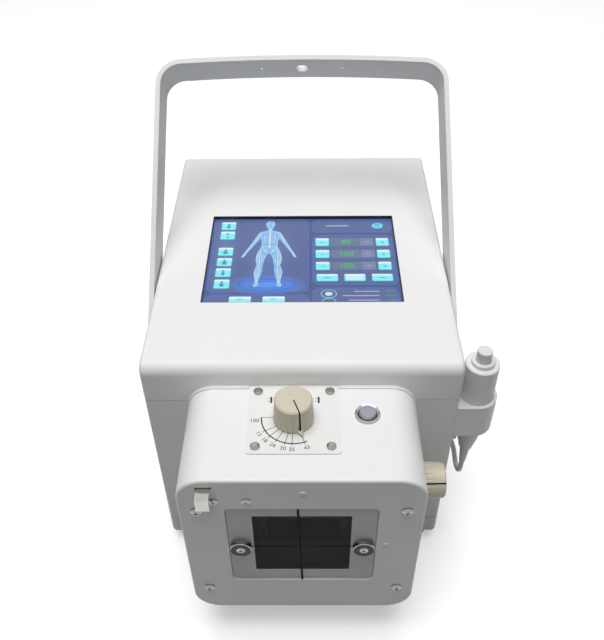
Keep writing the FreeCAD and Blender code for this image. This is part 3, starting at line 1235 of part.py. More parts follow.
def chassis():
    inset = "shell_wall + slip + lip_wall + 0.5"
    plate = box("chassis_plate", "-%s + %s" % (SIDE, inset), "%s - (%s)" % (SIDE, inset),
                "%s + %s" % (FRONT, inset), "%s - (%s)" % (REAR, inset), "chassis_height", CHASSIS_TOP)
    keep(plate, "chassis_plate")


def tube_tank():
    front = "%s + shell_wall + 11" % FRONT
    block = box("tank_block", "-tank_width / 2", "tank_width / 2", front, "%s + tank_length" % front,
                CHASSIS_TOP, "%s + tank_height" % CHASSIS_TOP)
    rounded = round_edges("tank_rounded", block, "edge_round", upright)
    lid_z = "%s + tank_height" % CHASSIS_TOP
    lid = box("tank_lid", "-tank_width / 2 - 4", "tank_width / 2 + 4", "%s - 4" % front,
              "%s + tank_length + 4" % front, "%s - 4" % lid_z, lid_z)
    cap = rod("tank_cap", "Z", "9", "35", "%s + 70" % front, lid_z, "6")
    keep(join("tank_solid", [rounded, lid, cap]), "tube_tank")
    sleeve = rod("port_sleeve", "Y", "port_radius", "0", FRONT, "beam_height", "shell_wall + 11")
    bore = rod("port_bore", "Y", "beam_port_radius", "0", FRONT, "beam_height", "shell_wall + 11")
    keep(cut("port_cut", sleeve, [bore]), "beam_port")


def power_parts():
    rear_base = "%s - fan_depth - 40" % INNER_REAR
    base = box("sink_base", "-40", "40", rear_base, "%s + 6" % rear_base, CHASSIS_TOP, "fan_height + 40")
    fins = [box("sink_fin_%d" % i, "%.1f" % (-39 + 8.5 * i), "%.1f" % (-37 + 8.5 * i), "%s + 6" % rear_base,
                "%s + 34" % rear_base, "fan_height - 40", "fan_height + 40") for i in range(10)]
    keep(join("sink_solid", [base] + fins), "heat_sink")
    board = box("inverter_pcb", "-60", "60", "%s - 5" % rear_base, "%s - 5 + board_thick" % rear_base,
                CHASSIS_TOP, "%s + 115" % CHASSIS_TOP)
    cells = [box("igbt_%d" % i, "%d" % x, "%d" % (x + 22), "%s - 5 + board_thick" % rear_base, rear_base,
                 "%d" % z, "%d" % (z + 30)) for i, (x, z) in enumerate(((-36, 80), (-6, 80), (12 + 2, 115)))]
    caps = [rod("bus_cap_%d" % i, "Y", "11", "%d" % x, "%s - 35" % rear_base, "%d" % z, "30")
            for i, (x, z) in enumerate(((-40, 60), (-12, 60), (16, 60), (44, 60)))]
    keep(join("inverter_solid", [board] + cells + caps), "inverter_board")


def fan():
    front = "%s - fan_depth - lip_wall - slip" % INNER_REAR
    half = "fan_size / 2"
    block = box("fan_block", "-%s" % half, half, front, INNER_REAR, "fan_height - %s" % half,
                "fan_height + %s" % half)
    bore = rod("fan_bore", "Y", "%s - 2" % half, "0", "%s - 1" % front, "fan_height", "fan_depth + 10")
    ring = cut("fan_ring", block, [bore])
    hub = rod("fan_hub", "Y", "14", "0", "%s - 4" % INNER_REAR, "fan_height", "4")
    spokes = [box("fan_spoke_%d" % i, x0, x1, "%s - 3" % INNER_REAR, INNER_REAR, z0, z1)
              for i, (x0, x1, z0, z1) in enumerate((("-%s + 1" % half, "%s - 1" % half,
                                                     "fan_height - 2", "fan_height + 2"),
                                                    ("-2", "2", "fan_height - %s + 1" % half,
                                                     "fan_height + %s - 1" % half)))]
    pin = rod("fan_pin", "Y", "2", "0", "%s - 16" % INNER_REAR, "fan_height", "14")
    keep(join("fan_frame_solid", [ring, hub, pin] + spokes), "fan_frame")
    hub_radius, tip = 13, number("fan_size") / 2 - 3.5
    depth = 14
    blades = []
    for index in range(7):
        blade = Part.makeBox(tip - hub_radius + 1, 1.6, depth, Vector(hub_radius - 1, -0.8, 0))
        blade.rotate(Vector((hub_radius + tip) / 2, 0, depth / 2), Vector(1, 0, 0), 38)
        blade.rotate(Vector(), Vector(0, 0, 1), index * 360 / 7)
        blades.append(blade)
    rotor = Part.makeCylinder(hub_radius, depth).fuse(blades)
    rotor = rotor.common(Part.makeCylinder(tip, depth))
    rotor = rotor.cut(Part.makeCylinder(2 + number("running_gap"), depth)).removeSplitter()
    rotor.rotate(Vector(), Vector(1, 0, 0), -90)
    rotor.translate(Vector(0, number("%s - 5" % INNER_REAR) - depth, number("fan_height")))
    keep(solid("fan_rotor", rotor), "fan_rotor")


def mains():
    """Appliance inlet with its rocker switch, in the rear wall at the left."""
    x, z = "(-inlet_x)", "inlet_height"
    flange = box("inlet_flange", "%s - 16" % x, "%s + 16" % x, REAR, "%s + 2" % REAR,
                 "%s - 26" % z, "%s + 26" % z)
    shell = box("inlet_shell", "%s - 13.5" % x, "%s + 13.5" % x, "%s - 22" % REAR, REAR, "%s - 23.5" % z,
                "%s + 23.5" % z)
    mouth = box("inlet_mouth", "%s - 12" % x, "%s + 12" % x, "%s - 14" % REAR, "%s + 3" % REAR,
                "%s - 21" % z, "%s - 5" % z)
    rocker_room = box("rocker_room", "%s - 9" % x, "%s + 9" % x, "%s - 16" % REAR, "%s + 3" % REAR,
                      "%s + 0.4" % z, "%s + 21.6" % z)
    opened = cut("inlet_cut", join("inlet_solid", [flange, shell]), [mouth, rocker_room])
    axle = rod("rocker_axle", "X", "1.5", "%s - 10" % x, "%s - 5" % REAR, "%s + 11" % z, "20")
    keep(join("inlet_whole", [opened, axle]), "mains_inlet")
    pins = [box("pin_%d" % i, "%s %s" % (x, a), "%s %s" % (x, b), "%s - 14" % REAR, "%s - 5" % REAR,
                "%s - %d" % (z, low), "%s - %d" % (z, low - 4))
            for i, (a, b, low) in enumerate((("- 8", "- 6", 17), ("+ 6", "+ 8", 17), ("- 1", "+ 1", 13)))]
    group = doc.addObject("Part::Compound", "pin_group")
    group.Links = pins
    keep(group, "inlet_pins")
    rocker = body("rocker")
    profile = sketch(rocker, "rocker_profile", "YZ_Plane", "-inlet_x - 8.7")
    mid = "%s + 11" % z
    y = REAR
    outline(profile, [("%s - 8" % y, "%s - 4" % mid), ("%s - 1" % y, "%s - 8.5" % mid),
                      ("%s + 3.6" % y, "%s - 8.5" % mid), ("%s + 1.4" % y, mid),
                      ("%s + 1.2" % y, "%s + 8.5" % mid), ("%s - 1" % y, "%s + 8.5" % mid),
                      ("%s - 8" % y, "%s + 4" % mid)])
    pad(rocker, profile, "17.4")
    bore = circle(sketch(rocker, "rocker_bore", "YZ_Plane", "-inlet_x - 12"), "%s - 5" % y, mid,
                  "1.5 + running_gap")
    pocket(rocker, bore, "30", True)
    keep(rocker, "power_rocker")


def screws():
    big = faced("hood_screw_faced", pan_screw("hood_screw", "screw_head_radius", "screw_head_height",
                                              "screw_radius", "screw_length"))
    keep(copies("cover_screws", big, [(x, HOOD_FACE, z) for x, z in hood_screw_places()]), "cover_screws")
    small = pan_screw("small_screw", "small_head_radius", "small_head_height", "small_screw_radius",
                      "dial_thick + hood_wall")
    dials = copies("dial_screws", small, [(x, y, PLATE_TOP) for x, y in dial_screw_places()])
    front = pan_screw("tape_screw", "small_head_radius", "small_head_height", "small_screw_radius",
                      "hood_wall + 2")
    tapes = copies("tape_screws", faced("tape_screw_faced", front),
                   [(x, HOOD_FACE, z) for x, z in tape_screw_places()])
    group = doc.addObject("Part::Compound", "small_screw_group")
    group.Links = [dials, tapes, magnets()]
    keep(group, "small_screws")


def check_and_write():
    doc.recompute()
    faults = []
    for obj in doc.Objects:
        if {"Invalid", "Error"} & set(obj.State):
            faults.append("%s %s" % (obj.Label, obj.State))
    for piece in nodes:
        if piece.Shape.isNull() or not piece.Shape.isValid() or not piece.Shape.Solids:
            faults.append("%s has no valid solid" % piece.Label)
    if faults:
        raise RuntimeError("; ".join(faults))
    os.makedirs("parts", exist_ok=True)
    for piece in nodes:
        piece.Shape.exportStep("parts/%s.step" % piece.Label)
    print(len(nodes), "sub-parts written")


for make in (top_cover, main_housing, base_tray, feet, screen, rim, hood, pane, bumps, columns,
             guide_plate, dial_shafts, shutters, knobs, bushes, dial_plate, light_field, lamp_switch,
             tape_measure, handle, pivots, holder, hand_switch, cord, chassis, tube_tank, power_parts,
             fan, mains, screws):
    make()
    doc.recompute()
check_and_write()
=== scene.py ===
import math

import bmesh
import bpy
from mathutils import Matrix, Vector


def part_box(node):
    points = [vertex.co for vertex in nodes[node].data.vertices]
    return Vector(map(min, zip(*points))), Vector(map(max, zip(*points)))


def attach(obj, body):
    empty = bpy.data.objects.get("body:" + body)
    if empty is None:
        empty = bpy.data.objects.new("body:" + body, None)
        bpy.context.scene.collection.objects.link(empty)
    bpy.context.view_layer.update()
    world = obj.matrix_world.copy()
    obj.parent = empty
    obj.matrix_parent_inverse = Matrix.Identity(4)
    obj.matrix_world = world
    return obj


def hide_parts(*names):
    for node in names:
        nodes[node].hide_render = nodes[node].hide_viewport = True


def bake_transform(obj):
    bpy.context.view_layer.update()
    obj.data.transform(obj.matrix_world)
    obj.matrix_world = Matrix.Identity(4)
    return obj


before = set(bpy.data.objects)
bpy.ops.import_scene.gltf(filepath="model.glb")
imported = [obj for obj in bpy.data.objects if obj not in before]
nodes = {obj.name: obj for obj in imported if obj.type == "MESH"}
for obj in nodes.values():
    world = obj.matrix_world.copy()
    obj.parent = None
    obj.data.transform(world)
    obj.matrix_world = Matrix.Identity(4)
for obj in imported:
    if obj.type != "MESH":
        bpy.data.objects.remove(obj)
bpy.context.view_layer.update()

mm = 0.001
print("frame loaded,", len(nodes), "nodes")


def nodeBox(name):
    low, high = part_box(name)
    return [value / mm for value in low], [value / mm for value in high]


def srgb(red, green, blue):
    # a colour as seen on a screen, 0 to 255, turned into the linear values that the sockets take
    linear = [(value / 255) ** 2.2 for value in (red, green, blue)]
    return (*linear, 1.0)


# places that follow the frame, in millimetres
hoodLow, hoodHigh = nodeBox("collimator_cover")
dialLow, dialHigh = nodeBox("dial_plate")
paneLow, paneHigh = nodeBox("window_pane")
knobLow, knobHigh = nodeBox("top_knob")
glassLow, glassHigh = nodeBox("touch_glass")
coverLow, coverHigh = nodeBox("top_cover")
dialAxis = ((knobLow[0] + knobHigh[0]) / 2, (knobLow[1] + knobHigh[1]) / 2)


# camera: the photograph's own view
cameraView = {
    "lens": 42.84, "sensor": 36.0, "place": (0.00522, -0.51125, 0.59942),
    "pitch": 0.740188, "yaw": -0.0125633, "roll": -0.0115021,
}


def placeCamera(view):
    ahead = Vector((math.sin(view["yaw"]) * math.cos(view["pitch"]),
                    math.cos(view["yaw"]) * math.cos(view["pitch"]), -math.sin(view["pitch"])))
    level = Vector((math.cos(view["yaw"]), -math.sin(view["yaw"]), 0))
    above = level.cross(ahead)
    side = level * math.cos(view["roll"]) + above * math.sin(view["roll"])
    top = above * math.cos(view["roll"]) - level * math.sin(view["roll"])
    data = bpy.data.cameras.new("camera")
    data.lens = view["lens"]
    data.sensor_width = view["sensor"]
    data.clip_start = 0.02
    camera = bpy.data.objects.new("camera", data)
    turn = Matrix((side, top, -ahead)).transposed().to_4x4()
    camera.matrix_world = Matrix.Translation(view["place"]) @ turn
    bpy.context.scene.collection.objects.link(camera)
    bpy.context.scene.camera = camera


placeCamera(cameraView)
print("camera placed")


# material groups: each puts out masks, values and heights that change over the surface

def newGroup(name, inputs, outputs):
    group = bpy.data.node_groups.new(name, "ShaderNodeTree")
    for label, value in inputs.items():
        socket = group.interface.new_socket(label, in_out="INPUT", socket_type="NodeSocketFloat")
        socket.default_value = value
    for label in outputs:
        group.interface.new_socket(label, in_out="OUTPUT", socket_type="NodeSocketFloat")
    return group, group.nodes.new("NodeGroupInput"), group.nodes.new("NodeGroupOutput")


def setOrLink(tree, socket, value):
    if isinstance(value, (int, float)):
        socket.default_value = value
    else:
        tree.links.new(value, socket)


def sums(tree, operation, first, second, clamp=False):
    node = tree.nodes.new("ShaderNodeMath")
    node.operation = operation
    node.use_clamp = clamp
    setOrLink(tree, node.inputs[0], first)
    setOrLink(tree, node.inputs[1], second)
    return node.outputs[0]


def noise(tree, place, scale, detail=2.0, roughness=0.5):
    node = tree.nodes.new("ShaderNodeTexNoise")
    node.inputs["Detail"].default_value = detail
    node.inputs["Roughness"].default_value = roughness
    tree.links.new(place, node.inputs["Vector"])
    setOrLink(tree, node.inputs["Scale"], scale)
    return node.outputs["Fac"]


def mouldedGroup():
    # orange peel of paint or moulded plastic, with faint clouds and handling specks
    group, start, end = newGroup("mouldedSurface", {"Peel": 900.0, "Cloud": 14.0}, ["Tint", "Rough",
                                                                                    "Height"])
    place = group.nodes.new("ShaderNodeTexCoord").outputs["Object"]
    peel = noise(group, place, start.outputs["Peel"])
    cloud = noise(group, place, start.outputs["Cloud"], 3.0)
    speck = noise(group, place, 260.0, 2.0, 0.7)
    mark = sums(group, "MULTIPLY", sums(group, "SUBTRACT", speck, 0.64, True), 2.0, True)
    tint = sums(group, "ADD", sums(group, "MULTIPLY", cloud, 0.7), mark, True)
    rough = sums(group, "ADD", sums(group, "MULTIPLY", cloud, 0.6), sums(group, "MULTIPLY", peel, 0.4))
    group.links.new(tint, end.inputs["Tint"])
    group.links.new(rough, end.inputs["Rough"])
    group.links.new(peel, end.inputs["Height"])
    return group


def brushedGroup():
    # fine scratches along one axis, from noise stretched along it
    group, start, end = newGroup("brushedSurface", {"Peel": 1600.0, "Cloud": 30.0}, ["Tint", "Rough",
                                                                                     "Height"])
    place = group.nodes.new("ShaderNodeTexCoord").outputs["Object"]
    stretch = group.nodes.new("ShaderNodeMapping")
    stretch.inputs["Scale"].default_value = (0.05, 1.0, 1.0)
    group.links.new(place, stretch.inputs["Vector"])
    lines = noise(group, stretch.outputs["Vector"], start.outputs["Peel"], 4.0, 0.65)
    cloud = noise(group, place, start.outputs["Cloud"], 3.0)
    rough = sums(group, "ADD", sums(group, "MULTIPLY", lines, 0.7), sums(group, "MULTIPLY", cloud, 0.3))
    group.links.new(sums(group, "MULTIPLY", cloud, lines), end.inputs["Tint"])
    group.links.new(rough, end.inputs["Rough"])
    group.links.new(lines, end.inputs["Height"])
    return group


surfaces = {"moulded": mouldedGroup(), "brushed": brushedGroup()}


def makeFinish(name, colour, shade=0.94, rough=(0.35, 0.5), bump=0.04, depth=0.0001,
               surface="moulded", peel=None, cloud=None, **fixed):
    # colour varies down to shade times itself, and roughness between the two given values
    material = bpy.data.materials.new(name)
    material.use_nodes = True
    tree = material.node_tree
    shader = tree.nodes["Principled BSDF"]
    for label, value in fixed.items():
        shader.inputs[label.replace("_", " ")].default_value = value
    skin = tree.nodes.new("ShaderNodeGroup")
    skin.node_tree = surfaces[surface]
    if peel is not None:
        skin.inputs["Peel"].default_value = peel
    if cloud is not None:
        skin.inputs["Cloud"].default_value = cloud
    blend = tree.nodes.new("ShaderNodeMix")
    blend.data_type = "RGBA"
    blend.inputs[6].default_value = srgb(*colour)
    blend.inputs[7].default_value = srgb(*[value * shade for value in colour])
    tree.links.new(skin.outputs["Tint"], blend.inputs[0])
    tree.links.new(blend.outputs[2], shader.inputs["Base Color"])
    spread = tree.nodes.new("ShaderNodeMapRange")
    spread.inputs["To Min"].default_value = rough[0]
    spread.inputs["To Max"].default_value = rough[1]
    tree.links.new(skin.outputs["Rough"], spread.inputs["Value"])
    tree.links.new(spread.outputs["Result"], shader.inputs["Roughness"])
    relief = tree.nodes.new("ShaderNodeBump")
    relief.inputs["Strength"].default_value = bump
    relief.inputs["Distance"].default_value = depth
    tree.links.new(skin.outputs["Height"], relief.inputs["Height"])
    tree.links.new(relief.outputs["Normal"], shader.inputs["Normal"])
    return material


metal = {"surface": "brushed", "Metallic": 1.0}
finishes = {
    "cover_white": makeFinish("paintedWhite", (238, 237, 237), 0.985, (0.44, 0.56), 0.10),
    "tray_white": makeFinish("trayWhite", (228, 228, 226), 0.98, (0.36, 0.5), 0.10),
    "foot_rubber": makeFinish("footRubber", (34, 34, 36), 0.8, (0.6, 0.85), 0.3),
    # painted reflection: the steel is set darker, with dark clouds, for the dark surroundings it would
    # reflect
    "steel": makeFinish("screwSteelDarkReflection", (172, 168, 161), 0.3, (0.2, 0.34), 0.12, cloud=420.0, **metal),
    "glass": makeFinish("touchGlass", (255, 255, 255), 0.99, (0.01, 0.03), 0.0, Transmission_Weight=1.0,
                        IOR=1.12, Coat_Weight=1.0, Coat_Roughness=0.42, Coat_IOR=1.5),
    "module_black": makeFinish("moduleBlack", (14, 14, 16), 0.7, (0.45, 0.6), 0.05),
    "aluminium": makeFinish("milledAluminium", (205, 206, 208), 0.9, (0.3, 0.42), 0.06, **metal),
    "board_green": makeFinish("boardGreen", (24, 74, 44), 0.8, (0.35, 0.5), 0.1),
    "white_plastic": makeFinish("hoodWhite", (236, 236, 236), 0.98, (0.32, 0.44), 0.08),
    "acrylic": makeFinish("clearAcrylic", (58, 58, 60), 0.95, (0.04, 0.09), 0.0, Alpha=0.09),
    # painted reflection: the plating is set darker for the dark surroundings it would reflect
    "plated": makeFinish("nickelPlateDarkReflection", (188, 186, 182), 0.78, (0.1, 0.2), 0.02, cloud=160.0, **metal),
    "soft_clear": makeFinish("softClear", (246, 246, 247), 0.97, (0.2, 0.3), 0.05, Alpha=0.75),
    "brass": makeFinish("turnedBrass", (200, 168, 104), 0.85, (0.2, 0.34), 0.05, **metal),
    # the blades' dark grey is partly the lead's own and partly painted shade for the dark inside of the hood
    "blade_lead": makeFinish("leadSheetAndShade", (50, 50, 56), 0.7, (0.45, 0.6), 0.1, Specular_IOR_Level=0.2),
    "knob_cream": makeFinish("knobCream", (208, 201, 180), 0.95, (0.38, 0.5), 0.08),
    "dial_white": makeFinish("dialWhite", (232, 232, 231), 0.985, (0.3, 0.4), 0.03),
    "mirror": makeFinish("frontMirror", (240, 240, 240), 0.98, (0.02, 0.05), 0.0, Metallic=1.0),
    "black_plastic": makeFinish("blackPlastic", (24, 24, 25), 0.8, (0.4, 0.55), 0.12),
    "tape_yellow": makeFinish("tapeYellow", (232, 196, 60), 0.94, (0.35, 0.5), 0.04),
    "handle_white": makeFinish("handleWhite", (232, 232, 231), 0.97, (0.5, 0.62), 0.14, peel=1400.0,
                               Specular_IOR_Level=0.12),
    "switch_white": makeFinish("switchWhite", (232, 229, 229), 0.98, (0.32, 0.44), 0.08),
    "button_grey": makeFinish("buttonWhite", (228, 226, 226), 0.97, (0.35, 0.48), 0.05),
    "cord_white": makeFinish("cordWhite", (230, 229, 228), 0.97, (0.42, 0.55), 0.1),
    # painted shade: black for the parts inside the hood, the mirror too, standing for the dark inside
    "inside_shade": makeFinish("insideShadeBlack", (24, 24, 27), 0.7, (0.5, 0.65), 0.08, Specular_IOR_Level=0.2),
    "lamp_cap": makeFinish("lampCap", (134, 137, 144), 0.86, (0.44, 0.56), 0.08, **metal),
    "print": makeFinish("printedLine", (40, 40, 44), 0.85, (0.45, 0.6), 0.0, Specular_IOR_Level=0.2),
    "cross_line": makeFinish("crossLine", (8, 8, 9), 0.6, (0.5, 0.65), 0.0, Specular_IOR_Level=0.06),
    # painted shade: a grey ring at the pane's seat for the dark gap round the pane
    "pane_gap_shade": makeFinish("paneGapShade", (148, 148, 149), 0.9, (0.3, 0.4), 0.0),
    "magnet_face": makeFinish("magnetFace", (34, 34, 38), 0.75, (0.35, 0.5), 0.1, Specular_IOR_Level=0.25),
}

slotOfNode = {
    "cover_white": ["top_cover", "main_housing"],
    "tray_white": ["base_tray"],
    "foot_rubber": ["rubber_feet"],
    "steel": ["foot_screws", "top_shaft", "side_shaft", "lamp_button", "cover_screws", "small_screws"],
    "glass": ["touch_glass"],
    "module_black": ["display_module"],
    "aluminium": ["display_bracket", "shutter_guide", "field_lamp", "mirror_bracket", "chassis_plate",
                  "tube_tank", "beam_port", "heat_sink"],
    "board_green": ["control_board", "inverter_board"],
    "white_plastic": ["collimator_rim", "collimator_cover", "switch_holder", "cord_clip"],
    "acrylic": ["window_pane"],
    "plated": ["pot_magnets", "lamp_button_ring", "tape_tab", "handle_pivots", "cord_plug",
               "cord_socket", "inlet_pins"],
    "soft_clear": ["bumper_dots"],
    "brass": ["guide_columns", "shaft_bushes"],
    "blade_lead": ["shutter_right", "shutter_left", "shutter_upper", "shutter_lower"],
    "knob_cream": ["top_knob", "side_knob"],
    "dial_white": ["dial_plate"],
    "mirror": ["field_mirror"],
    "black_plastic": ["tape_case", "handle_washers", "fan_frame", "fan_rotor", "mains_inlet", "power_rocker"],
    "tape_yellow": ["tape_blade"],
    "handle_white": ["handle"],
    "switch_white": ["handset_body", "handset_sleeve"],
    "button_grey": ["handset_button"],
    "cord_white": ["strain_relief", "handset_cord", "cord_coil", "cord_tail"],
}
for slotName, members in slotOfNode.items():
    for member in members:
        node = nodes[member]
        if not node.material_slots:
            node.data.materials.append(None)
        for place in node.material_slots:
            place.material = finishes[slotName]
# painted shade: black on the parts inside the hood, the mirror too, standing for the dark inside of the hood
# and its dark reflection; and the lamp button's bluish cap
for member, name in (("shutter_guide", "inside_shade"), ("mirror_bracket", "inside_shade"), ("field_lamp",
                                                                                     "inside_shade"),
                     ("field_mirror", "inside_shade"), ("lamp_button", "lamp_cap")):
    for place in nodes[member].material_slots:
        place.material = finishes[name]


def paintShadeInside(material, low, high, corner, wall):
    # painted shade: matt black on the inner faces of a hood, standing for its dark inside; the hood's box and
    # corner radius are given in millimetres
    tree = material.node_tree
    shader = tree.nodes["Principled BSDF"]
    axes = tree.nodes.new("ShaderNodeSeparateXYZ")
    tree.links.new(tree.nodes.new("ShaderNodeTexCoord").outputs["Object"], axes.inputs[0])
    squares = 0.0
    for axis in (0, 2):
        middle = (low[axis] + high[axis]) / 2 * mm
        core = ((high[axis] - low[axis]) / 2 - corner) * mm
        away = sums(tree, "ABSOLUTE", sums(tree, "SUBTRACT", axes.outputs[axis], middle), 0.0)
        beyond = sums(tree, "MAXIMUM", sums(tree, "SUBTRACT", away, core), 0.0)
        squares = sums(tree, "ADD", sums(tree, "MULTIPLY", beyond, beyond), squares)
    inside = sums(tree, "LESS_THAN", squares, ((corner - wall / 2) * mm) ** 2)
    behind = sums(tree, "GREATER_THAN", axes.outputs[1], (low[1] + wall * 0.8) * mm)
    black = tree.nodes.new("ShaderNodeMix")
    black.data_type = "RGBA"
    black.inputs[7].default_value = srgb(26, 26, 28)
    tree.links.new(sums(tree, "MULTIPLY", inside, behind), black.inputs[0])
    tree.links.new(shader.inputs["Base Color"].links[0].from_socket, black.inputs[6])
    tree.links.new(black.outputs[2], shader.inputs["Base Color"])


hoodShell = {"wall": 3.0, "corner": 20.0}
# the hood's own white, with painted shade in black on its inner faces
hoodInsideShade = makeFinish("hoodWhiteShadeInside", (236, 236, 236), 0.98, (0.38, 0.5), 0.08)
paintShadeInside(hoodInsideShade, hoodLow, hoodHigh, hoodShell["corner"], hoodShell["wall"])
for place in nodes["collimator_cover"].material_slots:
    place.material = hoodInsideShade
print("finishes on", sum(len(members) for members in slotOfNode.values()), "nodes")


# new pieces

def addPiece(name, shape, material, body, smoothAngle=35):
    # shape is a bmesh in millimetres, or a mesh in metres
    if isinstance(shape, bmesh.types.BMesh):
        bmesh.ops.scale(shape, vec=(mm, mm, mm), verts=shape.verts)
        mesh = bpy.data.meshes.new(name)
        shape.to_mesh(mesh)
        shape.free()
    else:
        mesh = shape
    for entry in material if isinstance(material, list) else [material]:
        mesh.materials.append(entry)
    mesh.shade_smooth()
    mesh.set_sharp_from_angle(angle=math.radians(smoothAngle))
    piece = bpy.data.objects.new(name, mesh)
    bpy.context.scene.collection.objects.link(piece)
    if body:
        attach(piece, body)
    return piece


def meshOf(data):
    # the mesh that a curve or a text makes
    holder = bpy.data.objects.new(data.name, data)
    bpy.context.scene.collection.objects.link(holder)
    depsgraph = bpy.context.evaluated_depsgraph_get()
    mesh = bpy.data.meshes.new_from_object(holder.evaluated_get(depsgraph))
    bpy.data.objects.remove(holder)
    return mesh


def outlineMesh(outlines, thick, kind="POLY"):
    # a flat plate in millimetres; an outline inside another leaves a hole
    curve = bpy.data.curves.new("outline", "CURVE")
    curve.dimensions = "2D"
    curve.fill_mode = "BOTH"
    curve.resolution_u = 6
    curve.extrude = thick / 2
    for outline in outlines:
        spline = curve.splines.new(kind)
        spline.points.add(len(outline) - 1)
        for target, point in zip(spline.points, outline):
            target.co = (point[0], point[1], 0, 1)
        if kind == "NURBS":
            spline.order_u = 3
        spline.use_cyclic_u = True
    return meshOf(curve)


def strokeMesh(points, radius, thick):
    # a soft line through those points, flattened to that thickness
    curve = bpy.data.curves.new("stroke", "CURVE")
    curve.dimensions = "3D"
    curve.resolution_u = 5
    curve.bevel_depth = radius
    curve.bevel_resolution = 1
    curve.use_fill_caps = True
    spline = curve.splines.new("NURBS")
    spline.points.add(len(points) - 1)
    for target, point in zip(spline.points, points):
        target.co = (point[0], point[1], 0, 1)
    spline.order_u = 3
    spline.use_endpoint_u = True
    mesh = meshOf(curve)
    mesh.transform(Matrix.Diagonal((1, 1, thick / 2 / radius, 1)))
    return mesh


def digitMesh(digits, size, thick, bold=0.0):
    words = bpy.data.curves.new("digits", "FONT")
    words.body = digits
    words.size = size
    words.align_x = "CENTER"
    words.align_y = "CENTER"
    words.extrude = thick / 2
    words.offset = bold
    words.resolution_u = 3
    return meshOf(words)


def joinFlat(meshes, height=0.0):
    # one shape of many flat ones, raised to that height; rise runs from 0 to 1 up each of them
    shape = bmesh.new()
    for mesh in meshes:
        ends = [vertex.co.y for vertex in mesh.vertices]
        span = max(ends) - min(ends)
        rise = mesh.attributes.new("rise", "FLOAT", "POINT")
        rise.data.foreach_set("value", [(value - min(ends)) / span for value in ends])
        mesh.transform(Matrix.Translation((0, 0, height)))
        shape.from_mesh(mesh)
        bpy.data.meshes.remove(mesh)
    bmesh.ops.remove_doubles(shape, verts=shape.verts, dist=0.0005)
    bmesh.ops.recalc_face_normals(shape, faces=shape.faces)
    return shape


def addBar(shape, start, end, width, depth):
    # a square-edged bar from start to end, width across it and depth thick
    run = Vector(end) - Vector(start)
    turn = run.to_track_quat("X", "Z").to_matrix().to_4x4()
    size = Matrix.Diagonal((run.length, width, depth, 1))
    middle = Matrix.Translation((Vector(start) + Vector(end)) / 2)
    bmesh.ops.create_cube(shape, size=1, matrix=middle @ turn @ size)


def box(x0, x1, y0, y1, cut=0.0):
    # a box with its corners cut off
    if not cut:
        return [(x0, y0), (x1, y0), (x1, y1), (x0, y1)]
    return [(x0 + cut, y0), (x1 - cut, y0), (x1, y0 + cut), (x1, y1 - cut),
            (x1 - cut, y1), (x0 + cut, y1), (x0, y1 - cut), (x0, y0 + cut)]


def oval(x, y, across, along, steps=20):
    return [(x + across * math.cos(2 * math.pi * step / steps),
             y + along * math.sin(2 * math.pi * step / steps))
            for step in range(steps)]


def arcBand(radius, width, start, end, steps=24):
    # a band along an arc round the origin, angles in degrees
    angles = [math.radians(start + (end - start) * step / steps) for step in range(steps + 1)]
    outer = [((radius + width / 2) * math.cos(angle),
              (radius + width / 2) * math.sin(angle)) for angle in angles]
    inner = [((radius - width / 2) * math.cos(angle),
              (radius - width / 2) * math.sin(angle)) for angle in angles]
    return outer + inner[::-1]


# the hand switch's lead: out of its strain relief, through the clip, down to the standing plane,
# round the rear corner to a neat coil behind the body, and up to its plug
cordSize = {"diameter": 4.0, "length": 1.70}
leadPoints = [
    (131, -124.5, 91), (131, -124.5, 83), (130.9, -123.6, 75.5), (130.5, -119.6, 69.6), (129.8, -113.2, 69.6),
    (128.8, -109, 75.4), (127.2, -108.6, 83.5), (125, -110.2, 91), (122.8, -108.4, 97.2), (121.6, -102.5,
                                                                                           98.8),
    (121.5, -94, 98), (121.6, -84, 92.5), (122, -75.5, 81.5), (122.3, -70, 67), (122.5, -66.5, 50),
    (122.7, -64, 34), (123, -59.5, 20), (123.6, -51, 9.5), (124.4, -38, 3.9), (125.2, -18, 2.2),
    (126.3, 8, 2.1), (126.9, 40, 2.1), (125.6, 74, 2.1), (126.2, 104, 2.1), (124.6, 130, 2.1),
    (116.5, 147, 2.1), (101, 155.3, 2.1), (84, 156.8, 2.1), (69, 155.8, 2.1),
]
tailPoints = [
    (80, 172, 60), (80, 179, 60), (80.2, 188.5, 57.8), (80.8, 198, 51), (81.4, 204.5, 40.5),
    (81, 208.2, 29), (77.5, 209.6, 19), (70, 209.2, 12.6), (61, 208.4, 10.2),
]
coil = {
    "centre": (58, 182), "outer": 26.6, "pitch": 4.15, "layer": 4.08, "floor": 2.1, "step": 20,
    "start": 15, "turns": 8.5, "jog": 60,
    # where along the winding, in degrees, the lead shifts one pitch in or out, or climbs one layer
    "shifts": [(300, -1), (660, -1), (1260, 1), (1620, 1), (2220, -1), (2580, -1), (2950, 1), (2990, 1)],
    "climbs": [960, 1920, 2870],
}


def eased(value):
    value = min(1.0, max(0.0, value))
    return value * value * (3 - 2 * value)


def coilPoints(winding):
    # clockwise seen from above, from the front of the coil, where the lead arrives
    points = []
    travel = winding["start"]
    while travel <= winding["turns"] * 360 - winding["start"]:
        radius = winding["outer"]
        for begin, way in winding["shifts"]:
            radius += way * winding["pitch"] * eased((travel - begin) / winding["jog"])
        height = winding["floor"]
        for begin in winding["climbs"]:
            height += winding["layer"] * eased((travel - begin) / winding["jog"])
        angle = math.radians(270 - travel)
        points.append((winding["centre"][0] + radius * math.cos(angle),
                       winding["centre"][1] + radius * math.sin(angle), height))
        travel += winding["step"]
    return points


